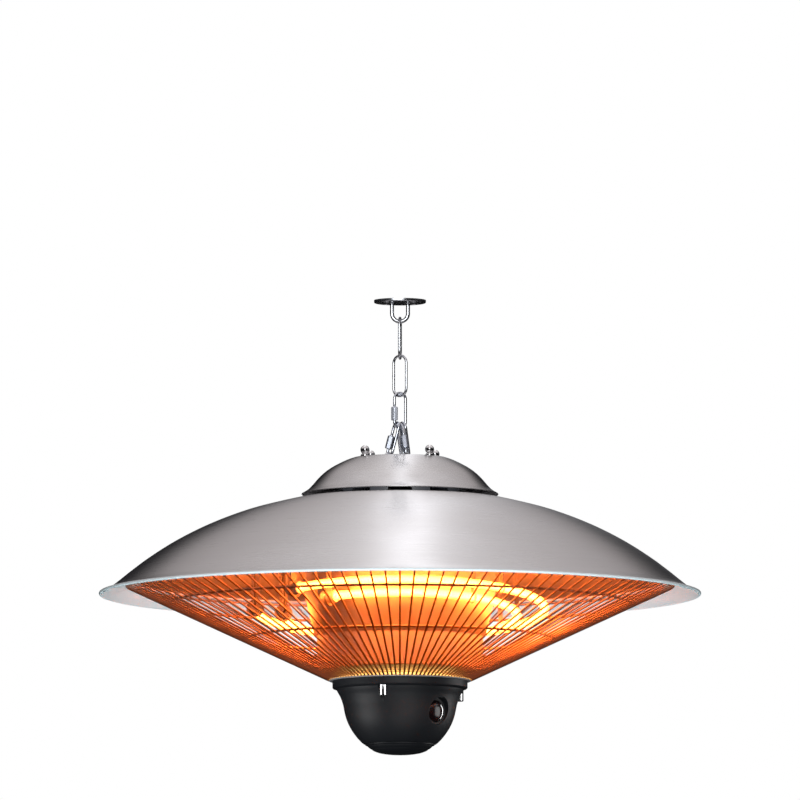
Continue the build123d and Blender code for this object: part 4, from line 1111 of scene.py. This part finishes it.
def area(name, where, target, size_x, size_y, power, color=(1, 1, 1)):
    d = bpy.data.lights.new(name, "AREA")
    d.shape = "RECTANGLE"
    d.size, d.size_y = size_x, size_y
    d.energy = power
    d.color = color
    o = link(bpy.data.objects.new(name, d))
    o.location = where
    o.rotation_euler = (Vector(target) - Vector(where)).to_track_quat("-Z", "Y").to_euler()
    o.visible_camera = False
    return o


# Soft lights for the outside only: they are kept off the lamps' side of the reflector.
inside = {"reflector", "drum_upper", "drum_lower", "lamp_tube_outer", "lamp_tube_inner", "filament_outer",
          "filament_inner", "lamp_end_caps", "lamp_holders", "tube_supports", "lamp_leads", "guard_mid_rings",
          "guard_wires", "guard_bottom_ring", "guard_brackets", "guard_clips", "guard_top_ring", "clip_screws"}


def group(name, members):
    """Collection of what is shown for these nodes, for a light to be kept to."""
    c = bpy.data.collections.new(name)
    for o in members:
        c.objects.link(look[o] if isinstance(o, str) else o)
    return c


outside = group("outside", [n for n in sorted(nodes) if n not in inside] + [floor])
underside = group("underside", ["rim_ring", "shade"])
bowl_group = group("bowl_group", ["housing", "housing_bottom_cap", "base_disc"])
guard_group = group("guard_group", ["guard_wires", "guard_top_ring"])
foot_group = group("foot_group", [drum_collar, "guard_bottom_ring"])
foot_shade = group("foot_shade", [drum_collar])
chain_group = group("chain_group", ["ceiling_plate", "ceiling_hook", "chain_link_upper", "chain_link_lower", "master_link",
                                    "master_link_nut", "leg_link_left", "leg_link_centre", "leg_link_right",
                                    "leg_link_left_nut", "leg_link_centre_nut", "leg_link_right_nut", "hanger_eyes"])
lens_group = group("lens_group", ["receiver_lens", "lens_bezel"])
screw_group = group("screw_group", ["housing_screws"])
neck_group = group("neck_group", ["neck_ring"])
reflector_group = group("reflector_group", ["reflector"])
nut_group = group("nut_group", ["master_link_nut"])


def keep_to(light, group):
    light.light_linking.receiver_collection = group


keep_to(area("front_fill", (0.0, -4.5, 0.9), (0, 0, -0.3), 2.2, 2.2, 40.0), outside)
keep_to(area("floor_bounce", (0.0, -0.9, -1.35), (0, 0, -0.3), 2.4, 1.6, 50.0, (0.80, 0.96, 1.0)), underside)
keep_to(area("floor_wash", (0.0, 0.0, 3.0), (0, 0.001, -1.45), 8.0, 8.0, 230.0), group("floor_group", [floor]))
bowl_left = area("bowl_left", (-2.6, -0.7, -1.45), (0, 0, -0.41), 1.8, 1.4, 25.0)
bowl_right = area("bowl_right", (2.4, 1.0, -0.60), (0, 0, -0.41), 1.2, 1.4, 12.0)
bowl_front = area("bowl_front", (1.3, -2.6, -1.0), (0, 0, -0.41), 1.8, 1.0, 6.0)
bowl_below = area("bowl_below", (0.2, -1.3, -1.40), (0, 0, -0.41), 1.2, 1.0, 3.5)
for light in (bowl_left, bowl_right, bowl_front, bowl_below):
    keep_to(light, bowl_group)
    light.light_linking.blocker_collection = bowl_group
keep_to(area("chain_front", (-0.9, -3.2, 0.35), (0, 0, -0.1), 1.4, 1.4, 34.0, (0.96, 0.98, 1.0)), chain_group)
# lens and screws are seen in their recesses, which throw no shadow on them here
for light, members in ((area("lens_side", (2.4, 0.0, -0.38), (0.04, -0.04, -0.41), 1.3, 1.3, 7.0), lens_group),
                       (area("lens_rim", (1.25, 2.2, -0.42), (0.04, -0.04, -0.41), 0.7, 1.6, 40.0), lens_group),
                       (area("neck_front", (0.0, -3.0, -0.35), (0, 0, -0.20), 2.4, 0.8, 90.0), neck_group),
                       (area("reflector_glow", (0.0, -2.6, -1.0), (0, 0, -0.26), 3.0, 1.0, 60.0, (1.0, 0.25, 0.09)),
                        reflector_group),
                       (area("nut_front", (-0.1, -3.0, 0.15), (0, 0, -0.1), 2.6, 1.2, 110.0), nut_group),
                       (area("screw_left", (-2.0, -1.2, -0.36), (-0.02, -0.06, -0.39), 1.6, 1.2, 16.0), screw_group),
                       (area("screw_right", (2.0, -1.2, -0.36), (-0.02, -0.06, -0.39), 1.6, 1.2, 16.0), screw_group)):
    keep_to(light, members)
    light.light_linking.blocker_collection = members
keep_to(area("guard_front", (0.0, -4.0, -0.62), (0, 0, -0.35), 1.8, 1.2, 15.0, (1.0, 0.26, 0.10)), guard_group)

for name, where, power in (("warm_front", (0.0, -2.2, -0.9), 110.0), ("warm_left", (-2.4, -0.1, -0.8), 110.0),
                           ("warm_right", (2.4, -0.1, -0.8), 150.0)):
    warm = area(name, where, (0, 0, -0.38), 2.4, 0.8, power, (1.0, 0.50, 0.12))
    keep_to(warm, foot_group)
    warm.light_linking.blocker_collection = foot_shade
keep_to(area("guard_floor", (0.0, -0.6, -1.38), (0, 0, -0.3), 2.4, 1.2, 5.0, (1.0, 0.30, 0.14)), guard_group)

world = bpy.data.worlds.new("studio")
scene.world = world
world.use_nodes = True
wt = world.node_tree
wt.nodes.clear()


def wnode(kind, **values):
    n = wt.nodes.new("ShaderNode" + kind)
    for k, v in values.items():
        setattr(n, k, v)
    return n


def wmap(value, a, b, lo, hi):
    m = wnode("MapRange", interpolation_type="SMOOTHSTEP")
    for name, v in (("From Min", a), ("From Max", b), ("To Min", lo), ("To Max", hi)):
        m.inputs[name].default_value = v
    wt.links.new(value, m.inputs["Value"])
    return m.outputs[0]


def wmath(op, a, b=None):
    m = wnode("Math", operation=op)
    for sock, v in zip(m.inputs, (a, b)):
        if v is None:
            continue
        if isinstance(v, (int, float)):
            sock.default_value = v
        else:
            wt.links.new(v, sock)
    return m.outputs[0]


w_out = wnode("OutputWorld")
w_mix = wnode("MixShader")
w_path = wnode("LightPath")
w_seen = wnode("Background")
w_seen.inputs[0].default_value = (1, 1, 1, 1)
w_room = wnode("Background")
w_tc = wnode("TexCoord")
w_sep = wnode("SeparateXYZ")
wt.links.new(w_tc.outputs["Generated"], w_sep.inputs[0])
w_ramp = wnode("ValToRGB")
stops = [(-1.0, (0.006, 0.006, 0.006)), (-0.10, (0.006, 0.006, 0.006)), (0.0, (0.012, 0.012, 0.013)),
         (0.32, (0.014, 0.014, 0.016)), (0.45, (0.13, 0.122, 0.122)), (0.58, (0.48, 0.442, 0.440)),
         (0.71, (0.56, 0.52, 0.52)), (0.95, (0.66, 0.61, 0.60)), (1.0, (0.68, 0.63, 0.62))]
el = w_ramp.color_ramp.elements
while len(el) < len(stops):
    el.new(0.5)
for e, (pos, col) in zip(el, stops):
    e.position = (pos + 1) / 2
    e.color = (*col, 1.0)
wt.links.new(wmath("MULTIPLY_ADD", w_sep.outputs[2], 0.5), w_ramp.inputs[0])
w_ramp.inputs[0].links[0].from_node.inputs[2].default_value = 0.5
# a tall soft strip light behind the heater, and fainter ones towards the other sides
strip = None
for src, sense, power, near, far, shift in (("x", 1, 0.85, 0.02, 0.125, -0.022), ("x", 1, 0.34, 0.05, 0.38, -0.030),
                                            ("x", -1, 0.5, 0.05, 0.22, 0.0), ("y", 1, 0.5, 0.05, 0.22, 0.0),
                                            ("y", -1, 0.5, 0.05, 0.22, 0.0)):
    across_out, along_out = (w_sep.outputs[0], w_sep.outputs[1]) if src == "x" else (w_sep.outputs[1], w_sep.outputs[0])
    # half width by height above the horizon
    spread = wmath("ADD", wmath("MULTIPLY", wmath("MAXIMUM", w_sep.outputs[2], 0.0), far - near), near)
    narrow = wmap(wmath("DIVIDE", wmath("ABSOLUTE", wmath("ADD", across_out, shift)), spread), 0.0, 1.0, 1.0, 0.0)
    side_on = wmap(wmath("MULTIPLY", along_out, float(sense)), -0.05, 0.15, 0.0, 1.0)
    height = wmap(w_sep.outputs[2], 0.06, 0.25, 0.0, 1.0)
    one = wmath("MULTIPLY", wmath("MULTIPLY", wmath("MULTIPLY", narrow, side_on), height), power)
    strip = one if strip is None else wmath("ADD", strip, one)
w_add = wnode("Mix", data_type="RGBA", blend_type="ADD")
w_add.inputs[0].default_value = 1.0
w_tint = wnode("Mix", data_type="RGBA", blend_type="MULTIPLY")
w_tint.inputs[0].default_value = 1.0
w_tint.inputs[7].default_value = (0.98, 0.99, 1.03, 1.0)
wt.links.new(strip, w_tint.inputs[6])
wt.links.new(w_ramp.outputs[0], w_add.inputs[6])
wt.links.new(w_tint.outputs[2], w_add.inputs[7])
wt.links.new(w_add.outputs[2], w_room.inputs[0])
wt.links.new(w_path.outputs["Is Camera Ray"], w_mix.inputs[0])
wt.links.new(w_room.outputs[0], w_mix.inputs[1])
wt.links.new(w_seen.outputs[0], w_mix.inputs[2])
wt.links.new(w_mix.outputs[0], w_out.inputs[0])

scene.view_settings.view_transform = "Standard"
scene.view_settings.look = "None"
scene.cycles.use_denoising = True
scene.cycles.max_bounces = 8
scene.cycles.sample_clamp_indirect = 6.0
